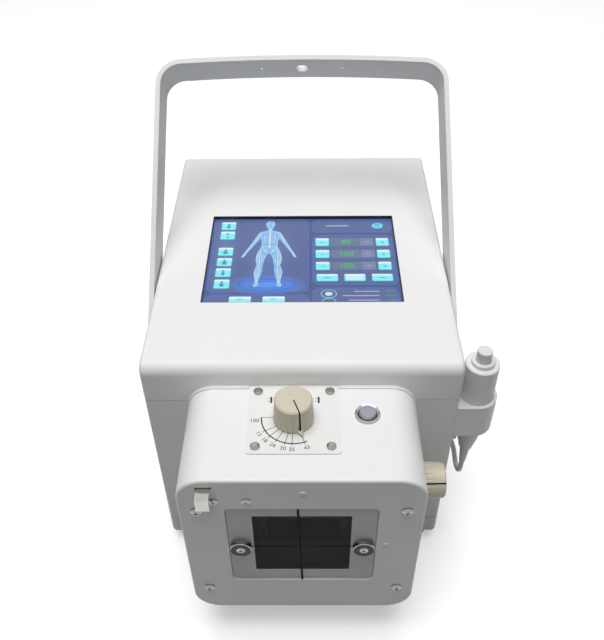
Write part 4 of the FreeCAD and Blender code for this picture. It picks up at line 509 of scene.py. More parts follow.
def routeCurve(name, points, radius=0.0):
    curve = bpy.data.curves.new(name, "CURVE")
    curve.dimensions = "3D"
    curve.resolution_u = 8
    curve.bevel_depth = radius * mm
    curve.bevel_resolution = 5
    curve.use_fill_caps = radius > 0
    spline = curve.splines.new("NURBS")
    spline.points.add(len(points) - 1)
    for target, point in zip(spline.points, points):
        target.co = (point[0] * mm, point[1] * mm, point[2] * mm, 1.0)
    spline.order_u = 3
    spline.use_endpoint_u = True
    return meshOf(curve)


cordRoute = leadPoints + coilPoints(coil) + tailPoints[::-1]
cordPath = [tuple(vertex.co) for vertex in routeCurve("leadRoute", cordRoute).vertices]
cordTube = addPiece("switch_lead", routeCurve("leadTube", cordRoute, cordSize["diameter"] / 2),
                    finishes["cord_white"], None, 60)
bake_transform(cordTube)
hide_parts("handset_cord", "cord_coil", "cord_tail")
pathLength = sum((Vector(b) - Vector(a)).length for a, b in zip(cordPath, cordPath[1:]))
print("lead laid,", round(pathLength, 3), "m")


# picture on the display: thin lit plates just inside the glass, in millimetres
screen = {
    "floor": 211.02, "step": 0.03, "haze": 0.04, "dim": 0.92, "opening": (-78, 78, -72.5, 42.5),
    # painted shade: how thick the black lining on the opening's walls is
    "shade_lining": 0.55,
    "back": (-82, 82, -76.5, 46.6), "backColour": (96, 108, 150), "panelColour": (106, 120, 168),
    "lineColour": (84, 130, 234), "softLineColour": (98, 124, 194), "lineWidth": 0.5, "cut": 4.0,
    "panels": [(-76.4, 5.2, -54.5, 44.5), (-76.6, 5.4, -79.0, -57.0), (7.8, 76.5, 25.0, 44.0),
               (8.0, 76.5, -45.5, 21.0), (7.8, 75.5, -79.0, -49.0)],
    "iconColumns": (-70.5, -58.4), "iconRows": [(29.5, 40.5), (15.5, 26.8), (-7.0, 3.7), (-21.0, -10.6),
                                                (-35.0, -24.1), (-49.5, -38.5)],
    "iconWidths": [1.6, 0.8, 2.6, 3.0, 1.4, 2.4],
    "bottomButtons": [(-57.2, -40.1), (-31.0, -13.6)], "bottomRow": (-72.0, -59.5),
    "rows": [(5.8, 16.4), (-10.5, 0.0), (-26.4, -16.1)], "values": ["40", "160", "100"],
    "minus": (11.0, 22.2), "field": (23.7, 60.0), "unit": (49.0, 60.0), "plus": (62.2, 72.7),
    "wideButtons": [(11.5, 28.4), (33.9, 50.6), (56.1, 72.5)], "wideRow": (-40.7, -32.0),
    "power": (64.9, 34.6, 4.5), "status": (20.0, 40.0, 34.6),
    "badge": (20.8, -56.5), "bars": [(40.7, 60.7, -53.7), (31.4, 60.4, -58.8), (36.0, 60.0, -64.2)],
    "greenBars": (65.0, 73.5), "barHeight": 1.1, "digitSize": 8.6, "cyan": (140, 246, 253),
    "buttonCut": 0.7, "halo": (0.8, 0.6, 1.4), "signArm": 1.5, "signHalf": 0.3, "signDrop": 0.6,
}
figure = {
    "middle": -28.0,
    "half": [(0, 42.4), (2.6, 41.8), (4.1, 39), (4, 35.2), (2.7, 31.4), (2, 29.6), (2.4, 28), (5.2, 27.2),
             (8.6, 26), (11, 22.4), (12.8, 17.6), (14.8, 12.4), (17, 7.4), (19.6, 1.6), (22.2, -4.2),
             (24.4, -8), (24.8, -10.2), (23.2, -9.8), (21.6, -7), (19.4, -2.8), (16.4, 2.8), (13.4, 7.8),
             (10.8, 12.8), (8.6, 16.4), (7.6, 14.6), (7.1, 10.3), (6.8, 6.6), (7.8, 3.4), (8.9, 0.5),
             (10.6, -5), (11.6, -9.5), (11.9, -14.4), (10.9, -18.6), (10.6, -20.8), (12, -24), (13.3, -28),
             (13.5, -32), (12.7, -37), (12.1, -41.4), (13.9, -45.6), (13.6, -47.6), (9.4, -47.8), (9.2, -44),
             (9.4, -40.6), (7.9, -35.6), (6.2, -29.6), (5.8, -23), (5.3, -18), (3.8, -11.8), (1.9, -6.4),
             (0, -4.4)],
    "bones": [  # each is a line with its half-width, and is mirrored to the other side
        ([(0.7, 26.2), (4, 26), (8.4, 24.2)], 0.3), ([(0.9, 23.2), (3.4, 23), (5.4, 20), (4.6, 17)], 0.2),
        ([(0.9, 20.8), (3.6, 20.4), (5.6, 17.2), (4.6, 14)], 0.2), ([(0.9, 18.4), (3.8, 17.6), (5.4, 14.2)],
                                                                    0.2),
        ([(0.9, 15.8), (3.6, 14.6), (5.2, 11.2)], 0.2), ([(0.9, 13.2), (3.2, 11.8), (4.8, 8.6)], 0.2),
        ([(0.5, 3.8), (2.4, 5.6), (5.2, 5), (6.6, 1.6), (4, -1.4), (1.2, -3.4)], 0.4),
        ([(1.4, 1.2), (3, 2.4), (4.2, 0.4), (2.2, -1.6)], 0.28),
        ([(7.2, 0), (8.2, -7), (8.4, -13), (8.2, -19.4)], 0.4), ([(5.2, -5), (6.2, -11), (6.8, -17)], 0.22),
        ([(9.4, -3), (10.4, -9), (10, -15), (9.2, -18.6)], 0.22), ([(3.4, -7), (4.8, -12), (6, -17.4)], 0.18),
        ([(6.6, -20.4), (8.4, -19.8), (10, -20.6), (8.4, -21.6), (6.7, -21)], 0.26),
        ([(8.4, -22.4), (9.6, -30), (10.4, -37.4), (10.9, -44)], 0.38),
        ([(10.8, -24), (11.8, -30), (11.5, -37)], 0.2), ([(7.2, -24), (7.8, -30), (9.2, -36.4)], 0.2),
        ([(9.8, -44.6), (11.4, -45.6), (12.8, -46.6)], 0.3),
        ([(9, 23.2), (11, 17.6), (13.2, 12), (14.6, 9)], 0.34), ([(9.6, 19.6), (11.4, 14.6), (13, 10.6)],
                                                                 0.18),
        ([(14.8, 8), (17.6, 2.4), (20.6, -3.4)], 0.28), ([(15.8, 8.4), (18.8, 2.8), (21.4, -3)], 0.18),
        ([(21.2, -4.6), (22.6, -7), (23.8, -9)], 0.2), ([(20.8, -4.8), (22, -7.4), (22.6, -8.8)], 0.16),
        ([(7.6, 25.2), (8.4, 21.4), (7.4, 17.6)], 0.22), ([(1.6, 40.6), (2.9, 38.8), (2.8, 35.6), (0.5,
                                                                                                   32.2)],
                                                                                                   0.26),
        ([(0.4, 37.6), (1.4, 38), (2.2, 37.2)], 0.2),
    ],
    "spine": [(0, 31.5), (0, 24), (0, 14), (0, 2.5)], "spineWidth": 0.75,
    "ring": (-28.0, -45.0), "rings": [(24.5, 8.2, 2.6), (20.6, 6.8, 0.4), (15.6, 5.1, 1.3), (11.5, 3.8, 0.4)],
    # each ray: where its two upper corners are, across and up from the ring's middle
    "rays": [(-15.6, -16.6, 27), (-9.6, -10.4, 31), (-5.0, -5.6, 34), (-1.7, -2.2, 35), (1.7, 2.2, 35),
             (5.0, 5.6, 34),
             (9.6, 10.4, 31), (15.6, 16.6, 27)],
    # arms and trunk, then feet: how far from the middle they stand, of the outline's own distance
    "squeeze": (0.94, 0.80), "legTop": -4.0, "legLength": 43.0,
}


def litColour(colour):
    # the glass adds a haze of its own, so a lit colour is written darker by that much
    return (*[max(0.0, (value / 255) ** 2.2 - screen["haze"]) for value in colour], 1.0)


def makeLit(name, colour, second=None):
    # lit plate: flat colour with faint clouds, or a run from colour at its foot to second at its top
    material = bpy.data.materials.new(name)
    material.use_nodes = True
    tree = material.node_tree
    shader = tree.nodes["Principled BSDF"]
    shader.inputs["Base Color"].default_value = (0, 0, 0, 1)
    shader.inputs["Specular IOR Level"].default_value = 0.0
    shader.inputs["Emission Strength"].default_value = 1.0
    shader.inputs["Roughness"].default_value = 0.6
    mix = tree.nodes.new("ShaderNodeMix")
    mix.data_type = "RGBA"
    mix.inputs[6].default_value = litColour(colour)
    if second:
        mix.inputs[7].default_value = litColour(second)
        rise = tree.nodes.new("ShaderNodeAttribute")
        rise.attribute_name = "rise"
        step = tree.nodes.new("ShaderNodeMapRange")
        step.interpolation_type = "SMOOTHSTEP"
        step.inputs["From Min"].default_value = 0.64
        step.inputs["From Max"].default_value = 0.88
        tree.links.new(rise.outputs["Fac"], step.inputs["Value"])
        tree.links.new(step.outputs["Result"], mix.inputs[0])
    else:
        mix.inputs[7].default_value = litColour([value * screen["dim"] for value in colour])
        place = tree.nodes.new("ShaderNodeTexCoord").outputs["Object"]
        tree.links.new(noise(tree, place, 160.0, 2.0), mix.inputs[0])
    tree.links.new(mix.outputs[2], shader.inputs["Emission Color"])
    return material


def addGlow(material, middle, reach, colour, power=2.0):
    # a soft round glow on a lit plate, centred and sized by a Mapping node
    tree = material.node_tree
    shader = tree.nodes["Principled BSDF"]
    centre = tree.nodes.new("ShaderNodeMapping")
    centre.inputs["Scale"].default_value = [1 / (value * mm) for value in reach]
    centre.inputs["Location"].default_value = [-place / value for place, value in zip(middle, reach)]
    tree.links.new(tree.nodes.new("ShaderNodeTexCoord").outputs["Object"], centre.inputs["Vector"])
    ball = tree.nodes.new("ShaderNodeTexGradient")
    ball.gradient_type = "SPHERICAL"
    tree.links.new(centre.outputs["Vector"], ball.inputs["Vector"])
    mix = tree.nodes.new("ShaderNodeMix")
    mix.data_type = "RGBA"
    mix.inputs[7].default_value = litColour(colour)
    tree.links.new(sums(tree, "POWER", ball.outputs["Fac"], power), mix.inputs[0])
    tree.links.new(shader.inputs["Emission Color"].links[0].from_socket, mix.inputs[6])
    tree.links.new(mix.outputs[2], shader.inputs["Emission Color"])


def screenPiece(name, meshes, layer, material):
    height = screen["floor"] + screen["step"] * (layer + 0.5)
    return addPiece(name, joinFlat(meshes, height), material, "casing", 30)


def plate(outlines, kind="POLY"):
    return outlineMesh(outlines, screen["step"] * 0.9, kind)


def mirrored(points, middle):
    right = [(middle + x, y) for x, y in points]
    return right + [(middle - x, y) for x, y in points[::-1] if x > 0]


def makeScreen():
    thin = screen["lineWidth"]
    backFinish = makeLit("screenBack", screen["backColour"])
    panelFinish = makeLit("screenPanel", screen["panelColour"])
    for material in (backFinish, panelFinish):
        addGlow(material, (*figure["ring"], screen["floor"]), (32, 14, 40), (104, 164, 255), 0.9)
        addGlow(material, (figure["middle"], -4, screen["floor"]), (30, 60, 60), (118, 136, 190), 2.0)
        addGlow(material, (screen["iconColumns"][0] + 6, -5, screen["floor"]), (15, 75, 60), (112, 138,
                                                                                              188), 1.6)
    screenPiece("screen_back", [plate([box(*screen["back"])])], 0, backFinish)
    screenPiece("screen_panels", [plate([box(*edge, screen["cut"])]) for edge in screen["panels"]], 1,
                panelFinish)
    frames = []
    softFrames = []
    for x0, x1, y0, y1 in screen["panels"]:
        for inset, width, target in ((0.0, thin, frames), (thin * 1.9, thin * 0.45, softFrames)):
            outer = box(x0 + inset, x1 - inset, y0 + inset, y1 - inset, screen["cut"] - inset * 0.4)
            inset += width
            inner = box(x0 + inset, x1 - inset, y0 + inset, y1 - inset, screen["cut"] - inset * 0.4)
            target.append(plate([outer, inner]))
    screenPiece("screen_frames", frames, 2, makeLit("screenFrame", screen["lineColour"]))
    screenPiece("screen_thin_frames", softFrames, 2, makeLit("screenThinFrame", screen["softLineColour"]))

    # value fields, their unit boxes and green digits
    fields = []
    units = []
    digits = []
    for (y0, y1), value in zip(screen["rows"], screen["values"]):
        fields.append(plate([box(*screen["field"], y0, y1, 0.5)]))
        units.append(plate([box(*screen["unit"], y0 + 0.4, y1 - 0.4, 0.5)]))
        word = digitMesh(value, screen["digitSize"], screen["step"] * 0.9, 0.015)
        spot = Matrix.Translation(((screen["field"][0] + screen["unit"][0]) / 2, (y0 + y1) / 2, 0))
        word.transform(spot @ Matrix.Diagonal((0.98, 1, 1, 1)))
        digits.append(word)
    screenPiece("screen_fields", fields, 2, makeLit("screenField", (122, 137, 170)))
    screenPiece("screen_units", units, 3, makeLit("screenUnit", (138, 150, 186)))
    screenPiece("screen_digits", digits, 4, makeLit("screenDigit", (56, 222, 84)))

    # buttons with a white upper edge
    glowing = [(*screen["iconColumns"], y0, y1) for y0, y1 in screen["iconRows"]]
    glowing += [(*sides, y0, y1) for y0, y1 in screen["rows"] for sides in (screen["minus"], screen["plus"])]
    glowing += [(*sides, *screen["wideRow"]) for sides in screen["wideButtons"]]
    plain = [(*sides, *screen["bottomRow"]) for sides in screen["bottomButtons"]]
    buttons = [plate([box(*edges, screen["buttonCut"])]) for edges in glowing + plain]
    screenPiece("screen_buttons", buttons, 3, makeLit("screenButton", screen["cyan"], (236, 250, 255)))
    around, above, corner = screen["halo"]
    haloes = [plate([box(x0 - around, x1 + around, y0 - around, y1 + above, corner)]) for x0, x1, y0,
              y1 in glowing]
    screenPiece("screen_button_glow", haloes, 2, makeLit("screenButtonGlow", (104, 150, 198)))
    middle = screen["wideButtons"][1]
    bright = plate([box(middle[0] + 1.2, middle[1] - 1.2, screen["wideRow"][0] + 1.4,
                        screen["wideRow"][1] - 1.0, 0.9)])
    screenPiece("screen_bright_button", [bright], 4, makeLit("screenBright", (204, 246, 255), (236, 250,
                                                                                               255)))

    # plain signs on the buttons
    signs = []
    arm, half = screen["signArm"], screen["signHalf"]
    for y0, y1 in screen["rows"]:
        level = (y0 + y1) / 2 - screen["signDrop"]
        signs.append(plate([box(15.4, 17.8, level - half, level + half)]))
        cross = (screen["plus"][0] + screen["plus"][1]) / 2
        signs.append(plate([[(cross + x, level + y) for x, y in (
            (-arm, -half), (-half, -half), (-half, -arm), (half, -arm), (half, -half), (arm, -half),
            (arm, half), (half, half), (half, arm), (-half, arm), (-half, half), (-arm, half))]]))
    for index, (y0, y1) in enumerate(screen["iconRows"]):
        column = sum(screen["iconColumns"]) / 2
        level = (y0 + y1) / 2 - screen["signDrop"]
        wide = screen["iconWidths"][index]
        signs.append(plate([oval(column, level + 2.6, 1.15, 1.15, 12)]))
        if index == 1:
            signs.append(plate([oval(column, level - 2.2, 1.2, 1.0, 12)]))
            continue
        signs.append(plate([[(column - wide * 1.2, level - 0.2), (column, level + 1.4),
                             (column + wide * 1.2, level - 0.2),
                             (column + 1.2, level - 0.6), (column + wide * 0.7, level - 3.6),
                             (column, level - 2.2), (column - wide * 0.7, level - 3.6),
                             (column - 1.2, level - 0.6)]]))
    for sides in (screen["wideButtons"][0], screen["wideButtons"][2], *screen["bottomButtons"]):
        level = -36.6 if sides in screen["wideButtons"] else -62.6
        centre = (sides[0] + sides[1]) / 2
        signs.append(plate([box(centre - 2.4, centre + 2.4, level - 0.35, level + 0.35)]))
    screenPiece("screen_signs", signs, 4, makeLit("screenSign", (80, 160, 196)))

    # power button, status bar, read-out bars and a plain round badge
    x, y, size = screen["power"]
    screenPiece("screen_power_glow", [plate([oval(x, y, size + 0.9, size * 0.86 + 0.8, 32)])], 2,
                makeLit("screenPowerGlow", (110, 160, 226)))
    screenPiece("screen_power", [plate([oval(x, y, size, size * 0.86, 32)])], 3,
                makeLit("screenPower", (120, 232, 250), (130, 214, 246)))
    sign = plate([oval(x, y, 2.2, 2.0), oval(x, y, 1.6, 1.4)])
    screenPiece("screen_power_sign", [sign, plate([box(x - 0.3, x + 0.3, y + 0.2, y + 2.8)])], 4,
                makeLit("screenPowerSign", (88, 150, 206)))
    bars = [plate([box(x0, x1, level - screen["barHeight"] / 2, level + screen["barHeight"] / 2, 0.3)])
            for x0, x1, level in screen["bars"]]
    x0, x1, level = screen["status"]
    bars.append(plate([box(x0, x1, level - 0.8, level + 0.8, 0.6)]))
    bars += [plate([box(52.8, 56.2, sum(row) / 2 - 0.45, sum(row) / 2 + 0.45,
                        0.2)]) for row in screen["rows"]]
    screenPiece("screen_bars", bars, 4, makeLit("screenBar", (186, 192, 230)))
    greens = [plate([box(*screen["greenBars"], level - screen["barHeight"] / 2,
                         level + screen["barHeight"] / 2, 0.3)])
              for _, _, level in screen["bars"]]
    screenPiece("screen_green_bars", greens, 4, makeLit("screenGreenBar", (98, 160, 136)))
    x, y = screen["badge"]
    rings = [plate([oval(x, y, 6.3, 5.2, 32), oval(x, y, 5.6, 4.5, 32)]),
             plate([oval(x, y - 8.6, 5.6, 3.4, 32), oval(x, y - 8.6, 4.9, 2.7, 32)])]
    screenPiece("screen_badge", rings, 3, makeLit("screenBadge", (140, 224, 246)))
    screenPiece("screen_badge_dot", [plate([oval(x, y, 3.0, 2.4, 24)])], 3, makeLit("screenBadgeDot", (232,
                                                                                                       240,
                                                                                                       252)))
    # painted shade: a black lining on the walls of the cover's opening, between the glass and the cover's
    # edge, for the dark strip along the screen's edge
    x0, x1, y0, y1 = screen["opening"]
    wall = screen["shade_lining"]
    foot, top = glassHigh[2] + 0.03, coverHigh[2] - 0.3
    shade_lining = outlineMesh([box(x0 + 0.03, x1 - 0.03, y0 + 0.03, y1 - 0.03),
                          box(x0 + wall, x1 - wall, y0 + wall, y1 - wall)], top - foot)
    addPiece("screen_shade_lining", joinFlat([shade_lining], (top + foot) / 2), finishes["black_plastic"], "casing",
             30)
    print("screen picture placed")


def squeezed(points):
    # the legs drawn closer together towards the feet
    wide, narrow = figure["squeeze"]
    result = []
    for x, y in points:
        down = min(1.0, max(0.0, (figure["legTop"] - y) / figure["legLength"]))
        result.append((x * (wide + (narrow - wide) * down), y))
    return result


def makeFigure():
    # a plain human shape with bones drawn in lines, standing on rings of light
    middle = figure["middle"]
    x, y = figure["ring"]
    rays = [plate([[(x + near * 0.55, y), (x + far, y + rise), (x + near, y + rise)]])
            for near, far, rise in figure["rays"]]
    screenPiece("screen_rays", rays, 2, makeLit("screenRay", (92, 126, 222)))
    rings = [plate([oval(x, y, across, along, 48), oval(x, y, across - width, along - width * 0.8, 48)])
             for across, along, width in figure["rings"]]
    screenPiece("screen_rings", rings, 2, makeLit("screenRing", (88, 132, 236)))
    outline = mirrored(squeezed(figure["half"]), middle)
    screenPiece("screen_figure_edge", [plate([outline], "NURBS")], 3, makeLit("screenFigureEdge", (222, 248,
                                                                                                   255)))
    inner = [(middle + (px - middle) * 0.93 if abs(px - middle) < 4.5 else px - math.copysign(0.52,
                                                                                              px - middle),
                                                                                              py)
             for px, py in outline]
    screenPiece("screen_figure", [plate([inner], "NURBS")], 4, makeLit("screenFigure", (140, 196, 252)))
    lines = []
    for points, radius in figure["bones"]:
        for side in (1, -1):
            path = [(middle + side * px, py) for px, py in squeezed(points)]
            lines.append(strokeMesh(path, radius, screen["step"] * 0.9))
    lines.append(strokeMesh([(middle + px, py) for px, py in figure["spine"]], figure["spineWidth"],
                            screen["step"] * 0.9))
    screenPiece("screen_bones", lines, 5, makeLit("screenBone", (222, 244, 255)))
    print("figure placed")


makeScreen()
makeFigure()


# print on the dial plate: an arc with its ticks and numbers, and two shutter marks behind the knob
dialPrint = {
    "thick": 0.05, "arc": (22.0, 0.85, 178, 295), "line": 0.38, "ticks": [-149.5, -135.4, -120.6, -104.6,
                                                                          -92, -70.2],
    "numbers": ["13", "18", "24", "30", "35", "43"], "reach": (13.5, 24.2), "numberReach": 26.9, "size": 4.3,
    "farNumber": ("100", -26.6, -2.2), "barHeight": 5.8, "barWidth": 1.25,
    # each mark: its place, then how far its two fine lines reach to the left and to the right
    "marks": [(-15.9, 16.5, 2.5, 3.4), (17.3, 16.4, 4.6, 1.0)], "markGap": 1.1,
}


def makeDialPrint(setup):
    top = dialHigh[2] + setup["thick"] / 2
    radius, width, start, end = setup["arc"]
    flats = [outlineMesh([arcBand(radius, width, start, end, 36)], setup["thick"])]
    for value, angle in zip(setup["numbers"], setup["ticks"]):
        word = digitMesh(value, setup["size"], setup["thick"])
        spot = (setup["numberReach"] * math.cos(math.radians(angle)),
                setup["numberReach"] * math.sin(math.radians(angle)), 0)
        word.transform(Matrix.Translation(spot) @ Matrix.Rotation(math.radians(angle + 90), 4, "Z"))
        flats.append(word)
    word = digitMesh(setup["farNumber"][0], setup["size"], setup["thick"])
    word.transform(Matrix.Translation((*setup["farNumber"][1:], 0)))
    flats.append(word)
    shape = joinFlat(flats)
    for angle in setup["ticks"]:
        way = Vector((math.cos(math.radians(angle)), math.sin(math.radians(angle)), 0))
        addBar(shape, way * setup["reach"][0], way * setup["reach"][1], setup["line"], setup["thick"])
    way = Vector((math.cos(math.radians(start)), math.sin(math.radians(start)), 0))
    addBar(shape, way * setup["reach"][0], way * radius, setup["line"] * 0.8, setup["thick"])
    for x, y, left, right in setup["marks"]:
        half = setup["barHeight"] / 2
        addBar(shape, (x, y - half, 0), (x, y + half, 0), setup["barWidth"], setup["thick"])
        for level in (y - setup["markGap"], y + setup["markGap"]):
            addBar(shape, (x - left, level, 0), (x + right, level, 0), setup["line"] * 0.7, setup["thick"])
    bmesh.ops.translate(shape, vec=(*dialAxis, top), verts=shape.verts)
    addPiece("dial_print", shape, finishes["print"], "casing", 30)


makeDialPrint(dialPrint)


# knobs: a black line over the top and down the side, and a pointer tab at the foot
knobMark = {
    "footRadius": 14.0, "topRadius": 12.9, "height": 18.6, "line": 0.85, "depth": 0.14, "lift": 0.03,
    "round": 0.8,
    "tabReach": 18.6, "tabHalf": 2.6, "tabThick": 1.5, "tabLift": 0.25, "topTurn": -70.2, "sideTurn": 227.0,
}


def makeKnobMarks(name, body, place, setup):
    # built standing on its foot with the mark along +X, then turned to its place
    rim = setup["height"] - setup["round"]
    topLine = setup["height"] - setup["depth"] / 2 + setup["lift"]
    lines = bmesh.new()
    addBar(lines, (0.6, 0, topLine), (setup["topRadius"] - 0.7, 0, topLine), setup["line"], setup["depth"])
    out = setup["lift"] - setup["depth"] / 2
    addBar(lines, (setup["topRadius"] + out + 0.02, 0, rim), (setup["footRadius"] + out, 0, 0.5),
           setup["line"] * 1.3, setup["depth"])
    addBar(lines, (setup["topRadius"] - 0.75, 0, topLine), (setup["topRadius"] + out, 0, rim),
           setup["line"], setup["depth"])
    bmesh.ops.transform(lines, matrix=place, verts=lines.verts)
    addPiece(name + "_line", lines, finishes["cross_line"], body, 30)
    half = setup["tabHalf"]
    tab = joinFlat([outlineMesh([[(setup["footRadius"] - 0.9, -half), (setup["tabReach"] - 0.8, -0.35),
                                  (setup["tabReach"], 0), (setup["tabReach"] - 0.8, 0.35),
                                  (setup["footRadius"] - 0.9, half)]], setup["tabThick"])],
                   setup["tabLift"] + setup["tabThick"] / 2)
    edges = [edge for edge in tab.edges if len(edge.link_faces) == 2 and edge.calc_face_angle(0) > 0.6]
    bmesh.ops.bevel(tab, geom=edges, offset=0.22, offset_type="OFFSET", affect="EDGES", segments=2,
                    profile=0.5, material=-1, clamp_overlap=True)
    bmesh.ops.transform(tab, matrix=place, verts=tab.verts)
    addPiece(name + "_tab", tab, finishes["knob_cream"], body, 30)


sideLow, sideHigh = nodeBox("side_knob")
topPlace = Matrix.Translation((*dialAxis, knobLow[2])) @ Matrix.Rotation(math.radians(knobMark["topTurn"]),
                                                                         4, "Z")
sidePlace = (Matrix.Translation((sideLow[0], (sideLow[1] + sideHigh[1]) / 2, (sideLow[2] + sideHigh[2]) / 2))
             @ Matrix.Rotation(math.radians(90), 4, "Y")
             @ Matrix.Rotation(math.radians(knobMark["sideTurn"]), 4, "Z"))
makeKnobMarks("top_knob", "top_dial", topPlace, knobMark)
makeKnobMarks("side_knob", "side_dial", sidePlace, knobMark)
print("dial print and knob marks placed")


# window pane: the beam's cross lines, and black faces with a countersunk screw on its two magnets
paneDetail = {
    "corner": 6.0, "edge": 0.35, "seatGap": 0.06,
    "crossTop": -2.6, "crossFoot": -0.3, "crossWidth": 1.6, "levelWidth": 1.1, "thick": 0.06, "magnetX": 43.0,
    "faceOuter": 7.2, "faceInner": 2.9, "facePlace": 3.58, "screwRadius": 3.2, "screwHeight": 0.6,
    "slotWidth": 0.55, "slotLength": 2.9, "slotDepth": 0.25, "faceThick": 0.16, "lineEnd": 0.3,
}


def makePane(setup):
    # clear plate with rounded corners and a fine chamfer that catches the light
    shape = bmesh.new()
    size = [high - low for low, high in zip(paneLow, paneHigh)]
    size[1] -= setup["seatGap"]
    middle = [(low + high) / 2 for low, high in zip(paneLow, paneHigh)]
    middle[1] -= setup["seatGap"] / 2
    bmesh.ops.create_cube(shape, size=1, matrix=Matrix.Translation(middle) @ Matrix.Diagonal((*size, 1)))
    corners = [edge for edge in shape.edges if abs(edge.verts[0].co.y - edge.verts[1].co.y) > 1]
    bmesh.ops.bevel(shape, geom=corners, offset=setup["corner"], offset_type="OFFSET", affect="EDGES",
                    segments=6,
                    profile=0.5, material=-1, clamp_overlap=True)
    rims = [edge for edge in shape.edges if all(vert.co.y < paneLow[1] + 0.01 for vert in edge.verts)]
    bmesh.ops.bevel(shape, geom=rims, offset=setup["edge"], offset_type="OFFSET", affect="EDGES", segments=2,
                    profile=0.5, material=-1, clamp_overlap=True)
    pane = addPiece("clear_pane", shape, finishes["acrylic"], "casing", 20)
    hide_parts("window_pane")
    # painted shade: a grey ring at the pane's seat, just inside its back face and a little beyond its edge,
    # for the dark gap round the pane
    rim = joinFlat([outlineMesh([box(-size[0] / 2 - 0.15, size[0] / 2 + 0.15, -size[2] / 2 - 0.15,
                                     size[2] / 2 + 0.15, 4.2),
                                 box(-size[0] / 2 + 0.3, size[0] / 2 - 0.3, -size[2] / 2 + 0.3,
                                     size[2] / 2 - 0.3,
                                     3.9)], 0.06)])
    bmesh.ops.transform(rim, matrix=Matrix.Translation((middle[0], paneHigh[1] - 0.09, middle[2]))
                        @ Matrix.Rotation(math.radians(90), 4, "X"), verts=rim.verts)
    addPiece("pane_gap_shade", rim, finishes["pane_gap_shade"], "casing", 30)


def makePaneDetail(setup):
    front = paneLow[1]
    level = (paneLow[2] + paneHigh[2]) / 2
    lines = bmesh.new()
    place = front - setup["thick"] / 2
    addBar(lines, (setup["crossTop"], place, paneHigh[2] - setup["lineEnd"]),
           (setup["crossFoot"], place, paneLow[2] + setup["lineEnd"]), setup["thick"], setup["crossWidth"])
    addBar(lines, (-setup["magnetX"] + 6, place, level), (setup["magnetX"] - 6, place, level),
           setup["thick"], setup["levelWidth"])
    addPiece("cross_lines", lines, finishes["cross_line"], "casing", 30)
    for side, name in ((-1, "left"), (1, "right")):
        middle = (side * setup["magnetX"], front - setup["facePlace"], level)
        turn = Matrix.Translation(middle) @ Matrix.Rotation(math.radians(90), 4, "X")
        ring = joinFlat([outlineMesh([oval(0, 0, setup["faceOuter"], setup["faceOuter"], 48),
                                      oval(0, 0, setup["faceInner"], setup["faceInner"], 32)],
                                     setup["faceThick"])])
        bmesh.ops.transform(ring, matrix=turn, verts=ring.verts)
        addPiece("magnet_face_" + name, ring, finishes["magnet_face"], "casing", 30)
        screw = bmesh.new()
        rim = [screw.verts.new(spot) for spot in
               ((0, 0, setup["screwHeight"]), (1.5, 0, setup["screwHeight"] * 0.85),
                (2.4, 0, setup["screwHeight"] * 0.4), (setup["screwRadius"], 0, 0.05),
                (setup["screwRadius"], 0, -0.1))]
        edges = [screw.edges.new(pair) for pair in zip(rim, rim[1:])]
        bmesh.ops.spin(screw, geom=rim + edges, cent=(0, 0, 0), axis=(0, 0, 1), dvec=(0, 0, 0),
                       angle=2 * math.pi,
                       steps=32, use_merge=True, use_duplicate=False)
        bmesh.ops.remove_doubles(screw, verts=screw.verts, dist=0.001)
        bmesh.ops.recalc_face_normals(screw, faces=screw.faces)
        bmesh.ops.transform(screw, matrix=turn, verts=screw.verts)
        addPiece("magnet_screw_" + name, screw, finishes["steel"], "casing", 40)
        # painted shade: a dark cross on each screw head for the shade in its recess
        slotShades = bmesh.new()
        for way in (Vector((1, 0, 0)), Vector((0, 1, 0))):
            reach = way * setup["slotLength"] / 2
            lift = Vector((0, 0, setup["screwHeight"] * 0.86))
            addBar(slotShades, lift - reach, lift + reach, setup["slotWidth"], setup["slotDepth"])
        bmesh.ops.transform(slotShades, matrix=turn, verts=slotShades.verts)
        addPiece("magnet_slot_shade_" + name, slotShades, finishes["magnet_face"], "casing", 30)


makePane(paneDetail)
makePaneDetail(paneDetail)
print("pane lines and magnet faces placed")


# stage and light
stageSetup = {"floorBounce": 0.20, "floorSeen": 0.97, "lift": 0.4, "ambient": 0.05, "frontBack": 0.24,
              "lampSize": 1.7, "lampPlace": (-0.10, -0.1, 2.4), "lampPower": 50.0}


def seenByEye(tree):
    # 1 for rays that should see a white surround: camera, mirror-like and through-glass rays
    path = tree.nodes.new("ShaderNodeLightPath")
    both = sums(tree, "ADD", path.outputs["Is Camera Ray"], path.outputs["Is Glossy Ray"], True)
    return sums(tree, "ADD", both, path.outputs["Is Transmission Ray"], True)


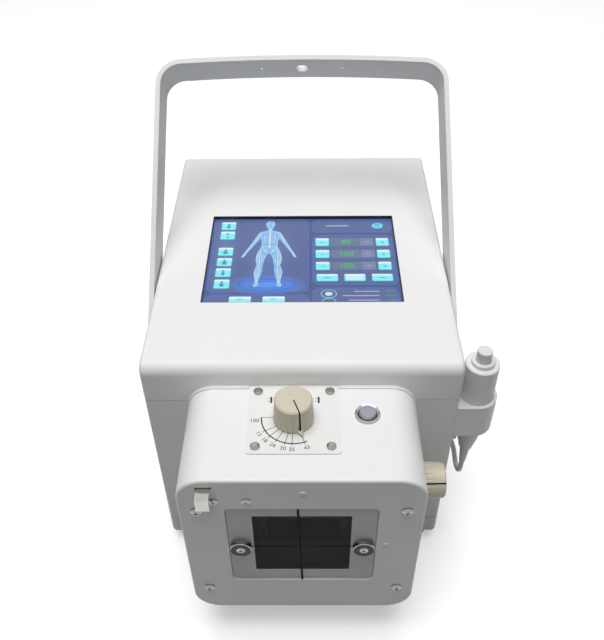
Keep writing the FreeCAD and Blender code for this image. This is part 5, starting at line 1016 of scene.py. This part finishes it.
def makeFloor(setup):
    shape = bmesh.new()
    bmesh.ops.create_grid(shape, x_segments=4, y_segments=4, size=6000)
    material = bpy.data.materials.new("studioFloor")
    material.use_nodes = True
    tree = material.node_tree
    tree.nodes.clear()
    seen = seenByEye(tree)
    diffuse = tree.nodes.new("ShaderNodeBsdfDiffuse")
    tint = tree.nodes.new("ShaderNodeMix")
    tint.data_type = "RGBA"
    tint.inputs[6].default_value = (*[setup["floorBounce"]] * 3, 1)
    tint.inputs[7].default_value = (*[setup["floorSeen"]] * 3, 1)
    tree.links.new(seen, tint.inputs[0])
    tree.links.new(tint.outputs[2], diffuse.inputs["Color"])
    glow = tree.nodes.new("ShaderNodeEmission")
    tree.links.new(sums(tree, "MULTIPLY", seen, setup["lift"]), glow.inputs["Strength"])
    both = tree.nodes.new("ShaderNodeAddShader")
    tree.links.new(diffuse.outputs[0], both.inputs[0])
    tree.links.new(glow.outputs[0], both.inputs[1])
    out = tree.nodes.new("ShaderNodeOutputMaterial")
    tree.links.new(both.outputs[0], out.inputs["Surface"])
    floor = addPiece("studio_floor", shape, material, None)


def makeWorld(setup):
    world = bpy.data.worlds.new("studio")
    world.use_nodes = True
    tree = world.node_tree
    seen = seenByEye(tree)
    axes = tree.nodes.new("ShaderNodeSeparateXYZ")
    tree.links.new(tree.nodes.new("ShaderNodeTexCoord").outputs["Generated"], axes.inputs[0])
    ahead = sums(tree, "MULTIPLY", sums(tree, "MULTIPLY", axes.outputs[1], axes.outputs[1]),
                 setup["frontBack"])
    fill = sums(tree, "ADD", ahead, setup["ambient"])
    level = sums(tree, "ADD", sums(tree, "MULTIPLY", seen, sums(tree, "SUBTRACT", 1.0, fill)), fill)
    tree.links.new(level, tree.nodes["Background"].inputs["Strength"])
    tree.nodes["Background"].inputs["Color"].default_value = (1, 1, 1, 1)
    bpy.context.scene.world = world


def makeLamp(setup):
    lamp = bpy.data.lights.new("softbox", "AREA")
    lamp.shape = "SQUARE"
    lamp.size = setup["lampSize"]
    lamp.energy = setup["lampPower"]
    holder = bpy.data.objects.new("softbox", lamp)
    holder.location = setup["lampPlace"]
    holder.rotation_euler = (Vector((0, 0, 0.1)) - holder.location).to_track_quat("-Z", "Y").to_euler()
    bpy.context.scene.collection.objects.link(holder)


makeFloor(stageSetup)
makeWorld(stageSetup)
makeLamp(stageSetup)
bpy.context.scene.view_settings.view_transform = "Standard"
print("stage set")
